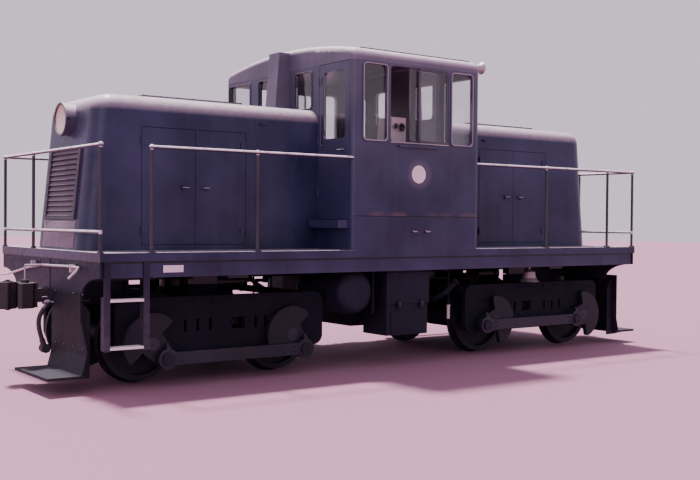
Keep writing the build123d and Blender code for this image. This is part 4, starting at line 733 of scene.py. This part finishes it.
def cushion(name, middle, turn, half, thick):
    # pad lying in XY with its crown towards +Z, then turned and placed
    cornerFrom = seating["cornerFrom"]
    bm = bmesh.new()
    bmesh.ops.create_cube(bm, size=2)
    bmesh.ops.subdivide_edges(bm, edges=bm.edges[:], cuts=11, use_grid_fill=True)
    for vert in bm.verts:
        u, v, w = vert.co
        edge = max(abs(u), abs(v))
        pulled = 1
        if edge > seating["pullFrom"]:
            pulled -= seating["pull"] / max(half) * (1 - min(abs(u), abs(v)) ** 2)
        cornerU, cornerV = (max(0, abs(across) - cornerFrom) / (1 - cornerFrom) for across in (u, v))
        rounding = 1 - seating["cornerPull"] * (cornerU * cornerV) ** 2
        if w > 0:
            channel = seating["channel"] * max(0, 1 - abs(abs(v) - seating["channelAt"]) / seating["channelHalf"])
            height = 1 - seating["crown"] * edge ** 5 - channel
        else:
            height = 1 - seating["foot"] * edge ** 6
        vert.co = (u * half[0] * pulled * rounding, v * half[1] * pulled * rounding, w * thick / 2 * height)
    bmesh.ops.smooth_vert(bm, verts=bm.verts, factor=seating["smoothing"], use_axis_x=True, use_axis_y=True,
                          use_axis_z=True)
    bmesh.ops.transform(bm, matrix=Matrix.Translation(middle) @ turn, verts=bm.verts)
    made = meshObject(name, bm, finishes["seatHide"])
    smoothing = made.modifiers.new("smoothing", "SUBSURF")
    smoothing.levels = smoothing.render_levels = 1
    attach(made, "root")
    return made


panLow, panHigh = seating["pan"]
backNear, backFar = seating["back"]
for label, x, y, back in seating["seats"]:
    cushion(f"seatPad_{label}", (x, y, (panLow + panHigh) / 2), Matrix.Identity(4),
                              seating["panHalf"], panHigh - panLow)
    leaned = Matrix.Rotation(-back * pi / 2, 4, "Y") @ Matrix.Rotation(pi / 2, 4, "Z")
    backX = x + back * (backNear + backFar) / 2
    cushion(f"seatBack_{label}", (backX, y, seating["backMid"]), leaned,
                              seating["backHalf"], backFar - backNear)
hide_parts("seats")
print("cushions made")

# trucks: bolts round the journal boxes and along each side frame, and a strap over each box
truckBolts = {"face": 1.060, "boxX": (-0.15, 0.15), "boxZ": (0.375, 0.567, 0.711), "frameZ": (0.62, 0.86),
              "frameX": (-0.35, -0.12, 0.12, 0.35), "radius": 0.016, "depth": 0.014,
              "strapX": (-0.105, 0.105), "strapY": (1.060, 1.072), "strapZ": (0.700, 0.735), "rounding": 0.004}
for end, along in ends:
    bm = bmesh.new()
    axles = [along * (truckMiddle + reach) for reach in (-axleReach, axleReach)]
    for _, side in sides:
        spots = [(axle + x, z) for axle in axles for x in truckBolts["boxX"] for z in truckBolts["boxZ"]]
        spots += [(along * truckMiddle + x, z) for x in truckBolts["frameX"] for z in truckBolts["frameZ"]]
        addBolts(bm, [((x, side * truckBolts["face"], z), (0, side, 0)) for x, z in spots],
                 truckBolts["radius"], truckBolts["depth"])
        for axle in axles:
            corners = zip((axle + x for x in truckBolts["strapX"]), truckBolts["strapY"], truckBolts["strapZ"])
            addBox(bm, mirrored(corners, 1, side), truckBolts["rounding"])
    piece(f"truckBolts_{end}", bm, f"truck_{end}", finishes["frameBlack"])

# side rods: oil cups on the eyes and keys beside them
crank = {"throw": 0.210, "angle": {"front": -48, "rear": -168}, "quartering": 90, "face": 1.145}


def pinOffset(end, side):
    # crank pin from the axle, along X and Z
    angle = radians(crank["angle"][end] + (crank["quartering"] if side > 0 else 0))
    return angle, crank["throw"] * cos(angle), crank["throw"] * sin(angle)


rodFittings = {"middle": rodInner + 0.028, "cupUp": 0.128, "cup": (0.015, 0.012, 0.022, 12),
               "lidUp": 0.148, "lid": (0.019, 0.017, 0.010, 6), "keyX": (0.13, 0.17), "keyY": rodInner + 0.0515,
               "keyZ": (0.028, -0.028), "key": (0.011, 0.010, 0.008, 6)}
for end, along in ends:
    for sideName, side in sides:
        _, pinX, pinZ = pinOffset(end, side)
        bm = bmesh.new()
        for toward in (-1, 1):
            x, z = along * truckMiddle + toward * axleReach + pinX, axleHeight + pinZ
            addCone(bm, (x, side * rodFittings["middle"], z + rodFittings["cupUp"]), (0, 0, 1), *rodFittings["cup"])
            addCone(bm, (x, side * rodFittings["middle"], z + rodFittings["lidUp"]), (0, 0, 1), *rodFittings["lid"])
            for inward in rodFittings["keyX"]:
                for up in rodFittings["keyZ"]:
                    addCone(bm, (x - toward * inward, side * rodFittings["keyY"], z + up), (0, side, 0),
                            *rodFittings["key"])
        piece(f"rodFittings_{end}_{sideName}", bm, f"side_rod_{end}_{sideName}", finishes["rodSteel"])
print("truck and rod fittings made")

# wheelsets: bolts of the pin caps, and a cover with a plug over each axle's end
crankFittings = {"boltY": rodInner + 0.074, "boltOut": 0.036, "bolt": (0.0095, 0.0085, 0.007, 6),
                 "coverY": crank["face"] - 0.001, "cover": (0.072, 0.070, 0.005, 32),
                 "plugY": crank["face"] + 0.003, "plug": (0.020, 0.014, 0.004, 16)}
for end, along in ends:
    for axleName, reach in (("inner", truckMiddle - axleReach), ("outer", truckMiddle + axleReach)):
        bm = bmesh.new()
        for _, side in sides:
            turn, pinX, pinZ = pinOffset(end, side)
            for step in range(3):
                angle = turn + 2 * pi * step / 3
                boltX = along * reach + pinX + crankFittings["boltOut"] * cos(angle)
                boltZ = axleHeight + pinZ + crankFittings["boltOut"] * sin(angle)
                addCone(bm, (boltX, side * crankFittings["boltY"], boltZ), (0, side, 0), *crankFittings["bolt"])
            for part in ("cover", "plug"):
                addCone(bm, (along * reach, side * crankFittings[part + "Y"], axleHeight), (0, side, 0),
                        *crankFittings[part])
        piece(f"crankFittings_{end}_{axleName}", bm, f"wheelset_{end}_{axleName}", finishes["rodSteel"])

# brake rigging: push rods, levers, cross links and hanger bars
rigging = {"rod": ((1.62, 0.45, 1.013), (1.50, 0.45, 1.013)), "rodR": 0.02,
           "link": ((1.495, 0.45, 1.075), (1.50, 0.24, 1.075)), "linkR": 0.010,
           "bar": ((1.495, 0.45, 1.0), (1.29, 0.30, 1.08), (1.27, 0.27, 1.06)), "barR": 0.016,
           "lever": ((1.475, 0.422, 0.985), (1.515, 0.478, 1.085)), "rounding": 0.005}
bm = bmesh.new()
for _, along in ends:
    for _, side in sides:
        for part in ("rod", "link", "bar"):
            addTube(bm, mirrored(rigging[part], along, side), rigging[part + "R"])
        addBox(bm, mirrored(rigging["lever"], along, side), rigging["rounding"])
piece("brakeRigging", bm, "root", finishes["frameBlack"])

# air pipes: a trainline inside each sill with its clips, a drop to the reservoir and a drain by the box
piping = {"line": ((-3.70, 1.36, 1.165), (3.70, 1.36, 1.165)), "branch": ((0.561, 1.30, 1.165), (0.561, 1.36, 1.165)),
          "drop": ((0.561, 1.30, 1.165), (0.561, 1.30, 0.66), (0.520, 1.20, 0.62)), "radius": 0.014,
          "drain": ((-0.60, 1.36, 1.165), (-0.60, 1.30, 1.165), (-0.60, 1.30, 0.69)), "drainR": 0.012,
          "clips": (-3.2, -1.9, -0.9, 0.6, 1.9, 3.2), "clip": ((-0.02, 1.345, 1.145), (0.02, 1.392, 1.185)),
          "rounding": 0.003}
bm = bmesh.new()
for _, side in sides:
    for run in ("line", "drop", "branch"):
        addTube(bm, mirrored(piping[run], side, side), piping["radius"])
    addTube(bm, mirrored(piping["drain"], side, side), piping["drainR"])
    for clipX in piping["clips"]:
        addBox(bm, mirrored([(clipX + x, y, z) for x, y, z in piping["clip"]], 1, side), piping["rounding"])
piece("airPipes", bm, "root", finishes["frameBlack"])

# drain cocks under the drains
cock = {"lowZ": 0.53, "radius": 0.02, "nutZ": 0.70, "nut": (0.026, 0.026, 0.02, 6)}
bm = bmesh.new()
for _, side in sides:
    x, y, z = mirrored(piping["drain"], side, side)[-1]
    addTube(bm, [(x, y, z), (x, y, cock["lowZ"])], cock["radius"])
    addCone(bm, (x, y, cock["nutZ"]), (0, 0, -1), *cock["nut"])
piece("drainCocks", bm, "root", finishes["beadMetal"])

# latches of the equipment boxes, each a plate with a knob
latch = {"middles": (0.188, -0.153), "plate": ((-0.020, 1.331, 0.698), (0.020, 1.341, 0.768)), "rounding": 0.003,
         "knobY": 1.339, "knobZ": 0.723, "knob": (0.012, 0.010, 0.014, 10)}
bm = bmesh.new()
for _, side in sides:
    for latchX in latch["middles"]:
        addBox(bm, mirrored([(latchX + x, y, z) for x, y, z in latch["plate"]], side, side), latch["rounding"])
        addCone(bm, (side * latchX, side * latch["knobY"], latch["knobZ"]), (0, side, 0), *latch["knob"])
piece("boxLatches", bm, "root", finishes["couplerCast"])

# stage: plain floor, soft sky, a high sun over the far side and a faint broad one at the front
stage = {"floorR": 90, "floor": (0.32, 0.140, 0.220, 1), "floorRoughness": 0.9,
         "sky": (0.90, 0.77, 0.93, 1), "skyStrength": 1.0,
         "lights": (("sun", 9.5, 6, (1, 0.95, 0.93), (0.03, 0.42, 0.95)),       # power, degrees across, colour
                    ("glow", 0.45, 35, (1, 0.86, 0.95), (-0.85, -0.4, 0.3)))}   # and the way to it
floorMesh = bpy.data.meshes.new("floor")
bm = bmesh.new()
bmesh.ops.create_circle(bm, cap_ends=True, segments=96, radius=stage["floorR"])
bm.to_mesh(floorMesh)
bm.free()
floorFinish, tree, shader = newMaterial("floorFinish")
fillInputs(tree, shader, {"Base Color": stage["floor"], "Roughness": stage["floorRoughness"]})
floorMesh.materials.append(floorFinish)
floor = linkObject("floor", floorMesh)
sky = bpy.data.worlds.new("sky")
sky.use_nodes = True
background = sky.node_tree.nodes["Background"]
fillInputs(sky.node_tree, background, {"Color": stage["sky"], "Strength": stage["skyStrength"]})
bpy.context.scene.world = sky
for name, power, across, colour, toward in stage["lights"]:
    lightData = bpy.data.lights.new(name, "SUN")
    lightData.energy = power
    lightData.angle = radians(across)
    lightData.color = colour
    light = linkObject(name, lightData)
    light.rotation_mode = "QUATERNION"
    light.rotation_quaternion = Vector(toward).to_track_quat("Z", "Y")
